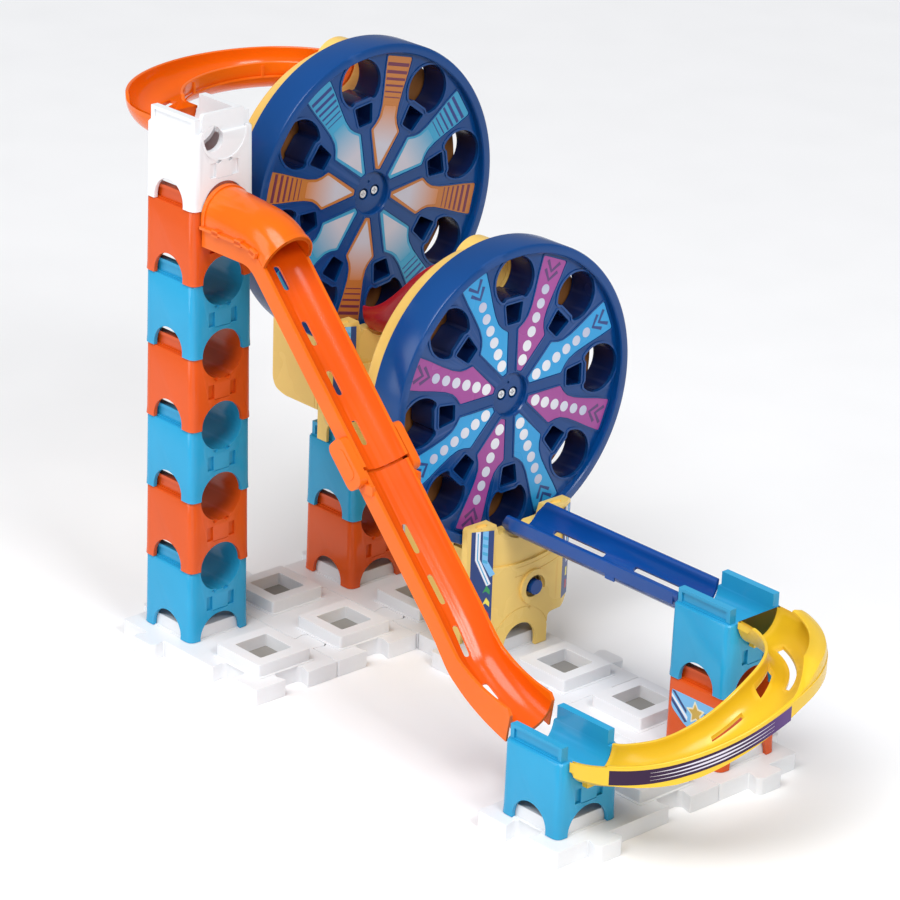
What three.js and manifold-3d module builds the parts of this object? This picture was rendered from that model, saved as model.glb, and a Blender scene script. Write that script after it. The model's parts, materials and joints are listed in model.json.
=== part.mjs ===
// A tabletop marble run with two lifting wheels, in millimetres, +Z up.
// X runs along the base from the tall tower to the low one, Y across it, and the underside of the base is z = 0.
// Blocks stand on a square grid of cells. Marbles run down the orange ramp, round the yellow bend and along
// the blue track into the lower wheel, which lifts them to the red chute. The upper wheel lifts them again
// to the orange bend at the top. Each wheel is turned through three gears inside its yellow housing.

import * as THREE from "three";
import { mergeVertices } from "three/addons/utils/BufferGeometryUtils.js";
import Module from "manifold-3d";

const wasm = await Module();
wasm.setup();

// ---- Driving dimensions ----
const BLOCK = 48; // outside width of a tower block
const CELL = 68; // pitch of the base grid
const LEVEL = 48.6; // height that one block adds to a tower
const PLATE = 11.2; // thickness of a base tile
const BOSS_HEIGHT = 8.6; // square boss on each cell, above the tile
const BOSS_HALF = 21.4;
const BOSS_RECESS_HALF = 12.8;
const BOSS_RECESS_DEPTH = 9;
const GAP = 0.3; // clearance between pieces that rest on each other
const WALL = 2.2; // wall thickness of the blocks
const BORE = 16.3; // radius of the marble way through a block
const TRACK_INNER = 16; // inner radius of the round-bottomed tracks
const TRACK_WALL = 2.2;
const TRACK_HALF = TRACK_INNER + TRACK_WALL;
const WHEEL_RADIUS = 100;
const WHEEL_FRONT = 13.4; // front edge of the wheel rim, from the middle of its cell
const WHEEL_BACK = -12;
const WHEEL_FACE = 8.6; // front of the printed disc, inside the rim's lip
const HUB_HEIGHT = 171.4; // axis of a wheel above the feet of its housing
const POCKET_COUNT = 8;
const POCKET_CIRCLE = 76.5;
const POCKET_RADIUS = 16.4;
const GEAR_MODULE = 3;
const WHEEL_TEETH = 36;
const IDLER_TEETH = 10; // each of the two idlers
const PINION_TEETH = 10;
const DRUM_RADIUS = 91;

const COLOURS = {
  white: 0xf2f2f0,
  skyBlue: 0x1fa6dc,
  orange: 0xdf5c1c,
  rampOrange: 0xf56a12,
  yellow: 0xf6cf72,
  deepYellow: 0xf5b92c,
  wheelBlue: 0x1f5aa8,
  trackBlue: 0x14418f,
  red: 0xae1e28,
  steel: 0xc9ccd0,
};

// ---- Solids from three.js shapes ----

// A closed geometry as a solid, turned right side out if its faces point inwards.
function solid(geometry) {
  const bare = geometry.index ? geometry.clone() : geometry;
  for (const name of Object.keys(bare.attributes)) {
    if (name !== "position") bare.deleteAttribute(name);
  }
  const merged = mergeVertices(bare, 1e-4);
  const vertProperties = new Float32Array(merged.attributes.position.array);
  const triVerts = new Uint32Array(merged.index.array);
  const make = () => new wasm.Manifold(new wasm.Mesh({ numProp: 3, vertProperties, triVerts }));
  const made = make();
  if (made.volume() > 0) return made;
  for (let i = 0; i < triVerts.length; i += 3) {
    [triVerts[i + 1], triVerts[i + 2]] = [triVerts[i + 2], triVerts[i + 1]];
  }
  return make();
}

// A solid as a three.js geometry.
function geometryOf(made) {
  const mesh = made.getMesh();
  const geometry = new THREE.BufferGeometry();
  geometry.setAttribute("position", new THREE.BufferAttribute(mesh.vertProperties, 3));
  geometry.setIndex(new THREE.BufferAttribute(mesh.triVerts, 1));
  return geometry;
}

const join = (solids) => solids.reduce((all, next) => all.add(next));
const cut = (body, tools) => tools.reduce((left, tool) => left.subtract(tool), body);

function box([x0, x1], [y0, y1], [z0, z1]) {
  const geometry = new THREE.BoxGeometry(x1 - x0, y1 - y0, z1 - z0);
  return solid(geometry.translate((x0 + x1) / 2, (y0 + y1) / 2, (z0 + z1) / 2));
}

// Turns a shape drawn in X and Y, and extruded along Z, so that it is drawn in the two other axes.
const DRAWN_IN = {
  xy: new THREE.Matrix4(),
  yz: new THREE.Matrix4().makeBasis(axis(0, 1, 0), axis(0, 0, 1), axis(1, 0, 0)),
  xz: new THREE.Matrix4().makeBasis(axis(1, 0, 0), axis(0, 0, 1), axis(0, -1, 0)),
};

function axis(x, y, z) {
  return new THREE.Vector3(x, y, z);
}

// A flat outline extruded from one station to another along the axis it isn't drawn in.
function prism(plane, shape, from, to, segments = 6) {
  const geometry = new THREE.ExtrudeGeometry(shape, {
    depth: to - from,
    bevelEnabled: false,
    curveSegments: segments,
  });
  geometry.translate(0, 0, from);
  if (plane === "xz") geometry.translate(0, 0, -from - to);
  return solid(geometry.applyMatrix4(DRAWN_IN[plane]));
}

function circle(radius, x = 0, y = 0) {
  return new THREE.Shape().absarc(x, y, radius, 0, 2 * Math.PI);
}

// An outline through points, each [x, y].
function outline(points) {
  return new THREE.Shape(points.map(([x, y]) => new THREE.Vector2(x, y)));
}

function roundedRectangle(x0, x1, y0, y1, radius) {
  const shape = new THREE.Shape();
  const corners = [
    [x1 - radius, y0 + radius, -Math.PI / 2],
    [x1 - radius, y1 - radius, 0],
    [x0 + radius, y1 - radius, Math.PI / 2],
    [x0 + radius, y0 + radius, Math.PI],
  ];
  for (const [x, y, start] of corners) shape.absarc(x, y, radius, start, start + Math.PI / 2);
  return shape;
}

// The outline of an arch standing just below z = 0: straight legs with a round head.
function arch(halfWidth, spring) {
  const shape = new THREE.Shape();
  shape.moveTo(-halfWidth, -1);
  shape.lineTo(halfWidth, -1);
  shape.lineTo(halfWidth, spring);
  shape.absarc(0, spring, halfWidth, 0, Math.PI);
  return shape;
}

// A solid that joins loops of points, one after another, all with the same number of points.
function loft(loops) {
  const count = loops[0].length;
  const positions = loops.flat().flatMap((p) => [p.x, p.y, p.z]);
  const faces = [];
  for (let i = 0; i + 1 < loops.length; i++) {
    for (let j = 0; j < count; j++) {
      const a = i * count + j;
      const b = i * count + ((j + 1) % count);
      faces.push(a, b, b + count, a, b + count, a + count);
    }
  }
  const flat = flatten(loops[0]);
  const last = (loops.length - 1) * count;
  for (const [a, b, c] of THREE.ShapeUtils.triangulateShape(flat, [])) {
    faces.push(b, a, c, a + last, b + last, c + last);
  }
  const geometry = new THREE.BufferGeometry();
  geometry.setAttribute("position", new THREE.Float32BufferAttribute(positions, 3));
  geometry.setIndex(faces);
  return solid(geometry);
}

// A flat loop of points in space as 2-D points, turning the same way as the loop.
function flatten(loop) {
  const normal = new THREE.Vector3();
  loop.forEach((p, i) => {
    const q = loop[(i + 1) % loop.length];
    normal.add(p.clone().cross(q));
  });
  normal.normalize();
  const u = loop[1].clone().sub(loop[0]).normalize();
  const v = normal.clone().cross(u);
  return loop.map((p) => new THREE.Vector2(p.dot(u), p.dot(v)));
}

// ---- Tracks ----

// The section of a round-bottomed channel, across (u) and up (v) from the axis of its round floor.
// Its walls follow the circle up to the height `rim` and go straight up from the middle of the circle.
function channelSection(inner, wall, rim, outerRim = rim, segments = 8) {
  const outer = inner + wall;
  const low = Math.min(rim, 0);
  const arc = (radius, sign) => {
    const half = low < 0 ? Math.acos(-low / radius) : Math.PI / 2;
    const points = [];
    for (let i = 0; i <= segments; i++) {
      const angle = sign * half * (1 - (2 * i) / segments);
      points.push([radius * Math.sin(angle), -radius * Math.cos(angle)]);
    }
    return points;
  };
  const points = [];
  if (outerRim > 0) points.push([outer, outerRim], [inner, outerRim]);
  points.push(...arc(inner, 1));
  if (rim > 0) points.push([-inner, rim], [-outer, rim]);
  points.push(...arc(outer, -1));
  return points;
}

// A section's points in space at a station: a point, the direction across and the direction up.
const placed = (section, { at, across, up }) =>
  section.map(([u, v]) => at.clone().addScaledVector(across, u).addScaledVector(up, v));

// Sweeps one section along stations.
const sweep = (section, stations) => loft(stations.map((station) => placed(section, station)));

// A station of a track in the X-Z plane that heads downhill by `slope` radians.
function slopeStation(x, z, slope) {
  return {
    at: axis(x, 0, z),
    across: axis(0, 1, 0),
    up: axis(Math.sin(slope), 0, Math.cos(slope)),
  };
}

// The oblong slots in a track's floor: cutters that stand across the floor at a point.
function floorSlot(station, length, width, below = TRACK_INNER) {
  const depth = 14;
  const along = station.up.clone().cross(station.across).normalize();
  const shape = roundedRectangle(-length / 2, length / 2, -width / 2, width / 2, width / 2 - 0.01);
  const geometry = new THREE.ExtrudeGeometry(shape, { depth, bevelEnabled: false, curveSegments: 2 });
  geometry.translate(0, 0, -below - depth / 2);
  const across = station.up.clone().cross(along);
  geometry.applyMatrix4(new THREE.Matrix4().makeBasis(along, across, station.up).setPosition(station.at));
  return solid(geometry);
}

// ---- The group and its pieces ----

const run = new THREE.Group();
run.name = "marble_run";

function addPiece(name, made, colour, parent = run) {
  const material = new THREE.MeshStandardMaterial({
    color: COLOURS[colour],
    roughness: colour === "steel" ? 0.3 : 0.38,
    metalness: colour === "steel" ? 1 : 0,
  });
  const mesh = new THREE.Mesh(geometryOf(made), material);
  mesh.name = name;
  parent.add(mesh);
  return mesh;
}

function groupAt(x, y, z) {
  const group = new THREE.Group();
  group.position.set(x, y, z);
  run.add(group);
  return group;
}

// ---- Base tiles ----

const JOINT_NECK = 8.5; // half width of a tile's dovetail where it leaves the edge
const JOINT_HEAD = 10.5; // half width at its head
const TAB_LENGTH = 11;
const NOTCH_CLEARANCE = 0.5; // a notch is this much larger than a tab on every side

// Points along one cell's edge, from -CELL/2 to CELL/2, with `out` away from the tile.
function edgePoints(kind) {
  if (kind === "flat") return [];
  const sign = kind === "tab" ? 1 : -1;
  const spread = kind === "tab" ? 0 : NOTCH_CLEARANCE;
  const reach = TAB_LENGTH + spread;
  const neck = JOINT_NECK + spread;
  const head = JOINT_HEAD + spread;
  return [
    [-neck, 0],
    [-head, sign * (reach - 3)],
    [-head + 2.2, sign * reach],
    [head - 2.2, sign * reach],
    [head, sign * (reach - 3)],
    [neck, 0],
  ];
}

// A tile of two cells side by side along X. Its edges are listed as seven kinds, anticlockwise from
// the cell on the left of the near side: near left, near right, right end, far right, far left, left end.
function tile(edges) {
  const half = CELL / 2 - GAP / 2;
  const sides = [
    { at: [0, -half], along: [1, 0] },
    { at: [CELL, -half], along: [1, 0] },
    { at: [CELL + half, 0], along: [0, 1] },
    { at: [CELL, half], along: [-1, 0] },
    { at: [0, half], along: [-1, 0] },
    { at: [-half, 0], along: [0, -1] },
  ];
  const corners = { 0: [-half, -half], 2: [CELL + half, -half], 3: [CELL + half, half], 5: [-half, half] };
  const points = [];
  sides.forEach(({ at, along }, i) => {
    if (corners[i]) points.push(corners[i]);
    const outward = [along[1], -along[0]];
    for (const [s, out] of edgePoints(edges[i])) {
      points.push([
        at[0] + s * along[0] + out * outward[0],
        at[1] + s * along[1] + out * outward[1],
      ]);
    }
  });
  const plate = prism("xy", outline(points), 0, PLATE);
  const bosses = [0, CELL].map((x) => {
    const square = roundedRectangle(x - BOSS_HALF, x + BOSS_HALF, -BOSS_HALF, BOSS_HALF, 1.5);
    return prism("xy", square, PLATE - 1, PLATE + BOSS_HEIGHT, 2);
  });
  const recesses = [0, CELL].map((x) => {
    const reach = [x - BOSS_RECESS_HALF, x + BOSS_RECESS_HALF];
    const floor = PLATE + BOSS_HEIGHT - BOSS_RECESS_DEPTH;
    return box(reach, [-BOSS_RECESS_HALF, BOSS_RECESS_HALF], [floor, floor + 2 * BOSS_RECESS_DEPTH]);
  });
  return cut(join([plate, ...bosses]), recesses);
}

const TILES = [
  { name: "base_tile_1", cell: [0, 0], edges: ["tab", "notch", "notch", "tab", "notch", "tab"] },
  { name: "base_tile_2", cell: [0, 1], edges: ["tab", "notch", "notch", "tab", "notch", "tab"] },
  { name: "base_tile_3", cell: [0, 2], edges: ["tab", "notch", "tab", "tab", "notch", "tab"] },
  { name: "base_tile_4", cell: [2, 2], edges: ["tab", "notch", "tab", "tab", "notch", "notch"] },
  { name: "base_tile_5", cell: [4, 2], edges: ["tab", "notch", "tab", "tab", "notch", "notch"] },
  { name: "base_tile_6", cell: [5, 0], edges: ["tab", "notch", "tab", "flat", "flat", "notch"], turned: true },
];

for (const { name, cell, edges, turned } of TILES) {
  const group = groupAt(cell[0] * CELL, cell[1] * CELL, 0);
  if (turned) group.rotation.z = Math.PI / 2;
  addPiece(name, tile(edges), "white", group);
}

// ---- Tower blocks ----

const BLOCK_HALF = BLOCK / 2;
const HOLLOW_HALF = BLOCK_HALF - WALL;
const FOOT_FLARE = 0.6; // how far the foot stands out beyond the shoulder on each side
const GUARD_HEIGHT = 9.6; // the two side walls that stand above the shoulder
const GUARD_HALF = HOLLOW_HALF - GAP;
const SIDE_ARCH = 14.2; // half width of the arch in the two sides beside the trough

// One block on z = 0: a hollow foot with four arches, and a trough along X across its top.
function towerBlock() {
  const corner = (half) => roundedRectangle(-half, half, -half, half, 4.6).getPoints(1).slice(0, -1);
  const loop = (half, z) => corner(half).map((p) => axis(p.x, p.y, z));
  const top = LEVEL - GAP;
  const body = loft([loop(BLOCK_HALF + FOOT_FLARE, 0), loop(BLOCK_HALF, top)]);
  const guards = box([GAP - HOLLOW_HALF, HOLLOW_HALF - GAP], [-GUARD_HALF, GUARD_HALF], [top - 1, top + GUARD_HEIGHT]);
  const hollow = new THREE.Shape();
  hollow.moveTo(-HOLLOW_HALF, -1);
  hollow.lineTo(HOLLOW_HALF, -1);
  hollow.lineTo(HOLLOW_HALF, top - WALL);
  const troughAngle = Math.asin(WALL / (BORE + WALL));
  hollow.absarc(0, LEVEL, BORE + WALL, -troughAngle - 0.06, Math.PI + troughAngle + 0.06, true);
  hollow.lineTo(-HOLLOW_HALF, top - WALL);
  return cut(join([body, guards]), [
    prism("yz", hollow, -HOLLOW_HALF, HOLLOW_HALF, 5),
    prism("yz", circle(BORE, 0, LEVEL), -BLOCK, BLOCK, 8),
    box([-BLOCK, BLOCK], [-BORE, BORE], [LEVEL, 2 * LEVEL]),
    prism("yz", arch(BORE, 0), -BLOCK, BLOCK, 4),
    prism("xz", arch(SIDE_ARCH, 1.6), -BLOCK, BLOCK, 4),
  ]);
}

const WINDOW_RADIUS = 8.2;
const WINDOW_OFFSET = -9;

// The white block at the top: its trough ends in a wall with a round window and drops through a shaft.
function dropBlock() {
  const top = LEVEL - GAP;
  const wall = box([BLOCK_HALF - 4.4, BLOCK_HALF - 1.2], [-GUARD_HALF, GUARD_HALF], [top - 26, top + GUARD_HEIGHT + 3]);
  const shaft = box([-4, BLOCK_HALF - 4.4], [-BORE + 1, BORE - 1], [-1, LEVEL + 1]);
  const window = prism("yz", circle(WINDOW_RADIUS, WINDOW_OFFSET, LEVEL - 4), 0, BLOCK, 8);
  return cut(join([cut(towerBlock(), [shaft]), wall]), [window]);
}

const TOWERS = [
  { name: "tower_a", cell: [0, 0], colours: ["skyBlue", "orange", "skyBlue", "orange", "skyBlue", "orange"] },
  { name: "tower_b", cell: [0, 2], colours: ["orange", "skyBlue"] },
  { name: "tower_c", cell: [5, 0], colours: ["skyBlue"] },
  { name: "tower_d", cell: [5, 2], colours: ["orange", "skyBlue"] },
];

for (const { name, cell, colours } of TOWERS) {
  const stack = groupAt(cell[0] * CELL, cell[1] * CELL, PLATE + GAP);
  colours.forEach((colour, level) => {
    addPiece(`${name}_block_${level + 1}`, towerBlock(), colour, stack).position.z = level * LEVEL;
  });
  if (name === "tower_a") {
    addPiece("tower_a_drop_block", dropBlock(), "white", stack).position.z = colours.length * LEVEL;
  }
}

// ---- Orange ramp from the tall tower down to the low one ----

const ramp = groupAt(0, 0, PLATE + GAP);
const RAMP_SLOPE = THREE.MathUtils.degToRad(46);
const CHUTE_START = BLOCK_HALF + 1.2;
const CHUTE_HEIGHT = 6 * LEVEL;
const BEND_START = 63.4; // where the upper ramp begins to turn downhill
const CHUTE_BEND = 40.5; // radius of that turn
const BEND_END = BEND_START + CHUTE_BEND * Math.sin(RAMP_SLOPE);
const HOOD_LEG = 11; // the ramp's rims lie this far below the axis of the hood
const JOINT_X = 180; // where the rims of the upper ramp meet those of the lower one
const JOINT_AXIS = JOINT_X + HOOD_LEG * Math.sin(RAMP_SLOPE);
const RAMP_FLOOR = 10; // depth of the floor below the rims
const SKIRT = 11.5; // depth of the side walls below the rims
const SKIRT_WALL = 1.5;
const FLOOR_HALF = 15.8; // half width of the floor at the rims
const RUN_OUT_END = 5 * CELL - BLOCK_HALF - 1.2;
const RUN_OUT_DEPTH = 19; // depth of the floor at the low end
const RUN_OUT_SKIRT = 21.5; // depth of its side walls there

// The axis of the hood: level, then a turn, then straight down the slope.
function upperAxis(x) {
  if (x <= BEND_START) return slopeStation(x, CHUTE_HEIGHT, 0);
  const slope = x <= BEND_END ? Math.asin((x - BEND_START) / CHUTE_BEND) : RAMP_SLOPE;
  const turnDrop = CHUTE_BEND * (1 - Math.cos(slope));
  return slopeStation(x, CHUTE_HEIGHT - turnDrop - Math.max(0, x - BEND_END) * Math.tan(RAMP_SLOPE), slope);
}

// The middle of the upper ramp between its rims.
function upperRim(x) {
  const station = upperAxis(x);
  return { ...station, at: station.at.clone().addScaledVector(station.up, -HOOD_LEG) };
}

// The rims of the lower ramp run straight down the slope through one point. Then they level out to the
// low tower, through points with a slope in degrees.
const LOWER_RIM = { x: 196, z: 154 };
const LEVELLING = [
  { x: 266, z: 80.6, degrees: 40 },
  { x: 275, z: 74.6, degrees: 31 },
  { x: 284, z: 70.3, degrees: 22 },
  { x: 293, z: 67.2, degrees: 15 },
  { x: 302, z: 65, degrees: 11 },
  { x: RUN_OUT_END, z: 63, degrees: 9 },
];
const lowerRim = (x) => slopeStation(x, LOWER_RIM.z - (x - LOWER_RIM.x) * Math.tan(RAMP_SLOPE), RAMP_SLOPE);

const stationsAt = (axisOf, xs) => xs.map((x) => axisOf(x));
const evenly = (from, to, count) => Array.from({ length: count + 1 }, (_, i) => from + ((to - from) * i) / count);

// The section of a ramp below its rims: a round floor that hangs between two side walls.
function rampSection(depth, skirt) {
  const radius = depth < FLOOR_HALF ? (FLOOR_HALF ** 2 + depth ** 2) / (2 * depth) : FLOOR_HALF;
  const centre = radius - depth;
  const arc = (size, halfWidth, sign) => {
    const half = Math.asin(Math.min(1, halfWidth / size));
    return evenly(sign * half, -sign * half, 8).map((a) => [size * Math.sin(a), centre - size * Math.cos(a)]);
  };
  const inside = TRACK_HALF - SKIRT_WALL;
  return [
    [TRACK_HALF, 0],
    [FLOOR_HALF + 0.1, 0],
    ...arc(radius, FLOOR_HALF - 0.1, 1),
    [-FLOOR_HALF - 0.1, 0],
    [-TRACK_HALF, 0],
    [-TRACK_HALF, -skirt],
    [-inside, -skirt],
    ...arc(radius + TRACK_WALL, inside, -1),
    [inside, -skirt],
    [TRACK_HALF, -skirt],
  ];
}

function upperRamp() {
  const bend = [CHUTE_START, ...evenly(BEND_START, BEND_END, 5)];
  const channel = sweep(rampSection(RAMP_FLOOR, SKIRT), stationsAt(upperRim, [...bend, JOINT_AXIS]));
  return cut(channel, [96, 123, 147, 171].map((x) => floorSlot(upperRim(x), 17, 4.4, RAMP_FLOOR)));
}

// The round hood over the start of the ramp: half a pipe that stands on two legs at the tower, comes down
// almost to the ramp's rims at the mouth, and has a flange along the foot of its first part.
const HOOD_RISE = { tower: 6.6, mouth: 0.8 }; // height of the middle of its round part above the rims
const MOUTH_LEAN = Math.tan(THREE.MathUtils.degToRad(20));
const HOOD_FLANGE = { reach: 2.4, height: 2, end: 82 };

function hoodSection(rise) {
  const pipe = (radius, from, to) =>
    evenly(from, to, 10).map((a) => [radius * Math.cos(a * Math.PI), rise + radius * Math.sin(a * Math.PI)]);
  return [
    [TRACK_INNER, GAP],
    ...pipe(TRACK_INNER, 0, 1),
    [-TRACK_INNER, GAP],
    [-TRACK_HALF, GAP],
    ...pipe(TRACK_HALF, 1, 0),
    [TRACK_HALF, GAP],
  ];
}

function chuteHood() {
  const xs = [CHUTE_START, ...evenly(BEND_START, BEND_END, 5)];
  const loops = xs.map((x, i) => {
    const share = (x - CHUTE_START) / (BEND_END - CHUTE_START);
    const rise = HOOD_RISE.tower + (HOOD_RISE.mouth - HOOD_RISE.tower) * share;
    const station = upperRim(x);
    const downhill = station.across.clone().cross(station.up);
    const lean = i === xs.length - 1 ? MOUTH_LEAN : 0;
    return placed(hoodSection(rise), station).map((p) => {
      const height = p.clone().sub(station.at).dot(station.up);
      return p.addScaledVector(downhill, -lean * height);
    });
  });
  const { reach, height, end } = HOOD_FLANGE;
  const flanges = [-1, 1].map((side) => {
    const [near, far] = [TRACK_HALF - 0.4, TRACK_HALF + reach].map((v) => v * side).sort((p, q) => p - q);
    const strip = [[near, GAP], [far, GAP], [far, GAP + height], [near, GAP + height]];
    return sweep(strip, stationsAt(upperRim, [CHUTE_START, ...evenly(BEND_START, end, 3)]));
  });
  return join([loft(loops), ...flanges]);
}

const EAR = { length: 32, height: 15, width: 6, rise: 1.5, overhang: 17 };
const LUG = { from: 3, to: 9, top: -3, bottom: -8 }; // joins an ear to the side of the lower ramp

// The lower ramp, with an ear on each side that reaches up beside the end of the upper one.
function lowerRamp() {
  const straight = [JOINT_X + GAP, 230].map((x) => ({ ...lowerRim(x), depth: RAMP_FLOOR, skirt: SKIRT }));
  const levelling = LEVELLING.map(({ x, z, degrees }, i) => {
    const share = (i + 1) / LEVELLING.length;
    return {
      ...slopeStation(x, z, THREE.MathUtils.degToRad(degrees)),
      depth: RAMP_FLOOR + (RUN_OUT_DEPTH - RAMP_FLOOR) * share,
      skirt: SKIRT + (RUN_OUT_SKIRT - SKIRT) * share,
    };
  });
  const stations = [...straight, ...levelling];
  const channel = loft(stations.map(({ depth, skirt, ...station }) => placed(rampSection(depth, skirt), station)));
  const foot = lowerRim(JOINT_X - EAR.overhang);
  const along = foot.across.clone().cross(foot.up);
  const frame = new THREE.Matrix4().makeBasis(along, foot.up, axis(0, -1, 0)).setPosition(foot.at);
  const parts = [-1, 1].flatMap((sign) => {
    const plate = roundedRectangle(0, EAR.length, EAR.rise - EAR.height, EAR.rise, 5);
    const geometry = new THREE.ExtrudeGeometry(plate, { depth: EAR.width, bevelEnabled: false, curveSegments: 2 });
    const side = TRACK_HALF + GAP;
    const ear = solid(geometry.translate(0, 0, sign > 0 ? side : -side - EAR.width).applyMatrix4(frame));
    const { x, z } = lowerRim(JOINT_X + LUG.from).at;
    const reach = [-sign * (TRACK_HALF - 1), -sign * (side + 1)].sort((p, q) => p - q);
    return [ear, box([x, x + LUG.to - LUG.from], reach, [z + LUG.bottom, z + LUG.top])];
  });
  const slots = [212, 236, 260].map((x) => floorSlot(lowerRim(x), 20, 4.4, RAMP_FLOOR));
  const lastSlot = floorSlot(levelling[2], 14, 4.4, levelling[2].depth);
  return cut(join([channel, ...parts]), [...slots, lastSlot]);
}

addPiece("chute_hood", chuteHood(), "rampOrange", ramp);
addPiece("ramp_upper", upperRamp(), "rampOrange", ramp);
addPiece("ramp_lower", lowerRamp(), "rampOrange", ramp);

// ---- Bends and straight tracks ----

// Stations round half an ellipse in plan that bulges to one side in X, with the height for each share of the way.
function bendStations(startX, bulge, heightAt, count) {
  return evenly(0, 1, count).map((share) => {
    const angle = (share - 0.5) * Math.PI;
    const point = (reachX, reachY) => axis(reachX * Math.cos(angle), reachY * Math.sin(angle), 0);
    return {
      at: axis(startX, CELL, heightAt(share)).add(point(bulge, CELL)),
      across: point(CELL * Math.sign(bulge), Math.abs(bulge)).normalize(),
      up: axis(0, 0, 1),
    };
  });
}

const smooth = (t) => t * t * (3 - 2 * t);

// The slots in the yellow bend's floor: steps of the way round, and the edges across it at both ends.
const BEND_SLOT_STEPS = 48;
const BEND_SLOTS = [
  { from: 19, to: 23, inner: [-11.5, -11.5], outer: [-9, -9] },
  { from: 27, to: 32, inner: [-15, -15], outer: [-10.5, -10.5] },
  { from: 31, to: 44, inner: [-3, -1.5], outer: [-0.5, 5] },
];
const BEND_SLOT_DEPTH = [-24, -3];
const BEND_GUARD = { from: 0.53, to: 0.93, reach: 9.6, rise: 8, shoulder: 4.5 };

// The climb of the yellow bend, as shares of the way round and of one level.
const CLIMB = [
  [0, 0.01],
  [0.1, 0.14],
  [0.2, 0.27],
  [0.3, 0.47],
  [0.5, 0.91],
  [0.6, 1.02],
  [0.7, 1.05],
  [1, 1.05],
];

function climbed(share) {
  const next = CLIMB.findIndex(([at]) => at >= share);
  if (next <= 0) return CLIMB[0][1];
  const [from, low] = CLIMB[next - 1];
  const [to, high] = CLIMB[next];
  return low + ((high - low) * (share - from)) / (to - from);
}

// The yellow bend's section. Its guard, where it has one, leans in over the channel.
function bendSection(guarded) {
  const { reach, rise, shoulder } = BEND_GUARD;
  const [outerTop, innerTop, ...rest] = channelSection(TRACK_INNER, TRACK_WALL, 1);
  if (!guarded) return [outerTop, innerTop, [TRACK_INNER, 0.5], ...rest, [TRACK_HALF, 0.5]];
  return [
    [TRACK_HALF - reach, rise + 1],
    [TRACK_INNER - reach, rise - 1],
    [TRACK_INNER - 0.6, shoulder - 0.5],
    ...rest,
    [TRACK_HALF - 0.6, shoulder + 0.5],
  ];
}

// The yellow bend climbs one level from the low tower to the track tower.
function yellowBend() {
  const height = (share) => LEVEL * (1 + climbed(share));
  const round = (count) => bendStations(5 * CELL + BLOCK_HALF + 1.2, CELL, height, count);
  const steps = 24;
  const guarded = (share) => share > BEND_GUARD.from && share < BEND_GUARD.to;
  const channel = loft(round(steps).map((station, i) => placed(bendSection(guarded(i / steps)), station)));
  const fine = round(BEND_SLOT_STEPS);
  return cut(channel, BEND_SLOTS.map(({ from, to, inner, outer }) => {
    const [low, high] = BEND_SLOT_DEPTH;
    return loft(fine.slice(from, to + 1).map((station, i) => {
      const share = i / (to - from);
      const [near, far] = [inner, outer].map(([first, last]) => first + (last - first) * share);
      return placed([[near, low], [far, low], [far, high], [near, high]], station);
    }));
  }));
}

addPiece("yellow_bend", yellowBend(), "deepYellow", groupAt(0, 0, PLATE + GAP));

// ---- Lifting wheels ----

const OUTLET_HEIGHT = HUB_HEIGHT + POCKET_CIRCLE;
const OUTLET_END = -30.6;
const TOP_BULGE = 51; // how far the top bend reaches behind the outlet
const POST_TOP = 93.6;
const BOX_FRONT = 26;
const BOX_BACK = WHEEL_FRONT + 1.2;
const DRIVE_OFFSET = 10; // the crank shaft's axis beside the middle of the unit, along Y
const IN_CUT = { radius: 20.2, height: 2.07 * BLOCK }; // the cut that the incoming track lies in

const pitchRadius = (teeth) => (GEAR_MODULE * teeth) / 2;

// The four gears stand on one line from the crank shaft up to the wheel's axis.
const GEAR_LINE = (() => {
  const reach = pitchRadius(WHEEL_TEETH) + 4 * pitchRadius(IDLER_TEETH) + pitchRadius(PINION_TEETH);
  const fall = Math.sqrt(reach ** 2 - DRIVE_OFFSET ** 2);
  return { y: DRIVE_OFFSET / reach, z: -fall / reach, reach, angle: Math.atan2(-fall, DRIVE_OFFSET) };
})();
const alongGears = (distance) => [GEAR_LINE.y * distance, HUB_HEIGHT + GEAR_LINE.z * distance];
const DRIVE_AXIS = alongGears(GEAR_LINE.reach);
const UPPER_IDLER = alongGears(pitchRadius(WHEEL_TEETH) + pitchRadius(IDLER_TEETH));
const LOWER_IDLER = alongGears(pitchRadius(WHEEL_TEETH) + 3 * pitchRadius(IDLER_TEETH));

const TOOTH_ROOT = { share: 0.27, height: -1.2 }; // half width in teeth, height in modules
const TOOTH_TIP = { share: 0.14, height: 0.9 };

// A gear's outline with one tooth at the angle `start`.
function gearShape(teeth, start) {
  const shape = new THREE.Shape();
  const stops = [
    [-TOOTH_ROOT.share, TOOTH_ROOT.height],
    [-TOOTH_TIP.share, TOOTH_TIP.height],
    [TOOTH_TIP.share, TOOTH_TIP.height],
    [TOOTH_ROOT.share, TOOTH_ROOT.height],
  ];
  for (let i = 0; i < teeth; i++) {
    for (const [share, height] of stops) {
      const angle = start + ((i + share) * 2 * Math.PI) / teeth;
      const radius = pitchRadius(teeth) + height * GEAR_MODULE;
      const point = [radius * Math.cos(angle), radius * Math.sin(angle)];
      if (i === 0 && share === -TOOTH_ROOT.share) shape.moveTo(...point);
      else shape.lineTo(...point);
    }
  }
  return shape;
}

// A round bar along X from one station to another.
const rod = (radius, from, to, segments = 10, y = 0, z = 0) =>
  prism("yz", circle(radius, y, z), from, to, segments);

// A shape turned about the X axis.
const turned = (made, degrees) => made.rotate([degrees, 0, 0]);

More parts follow.
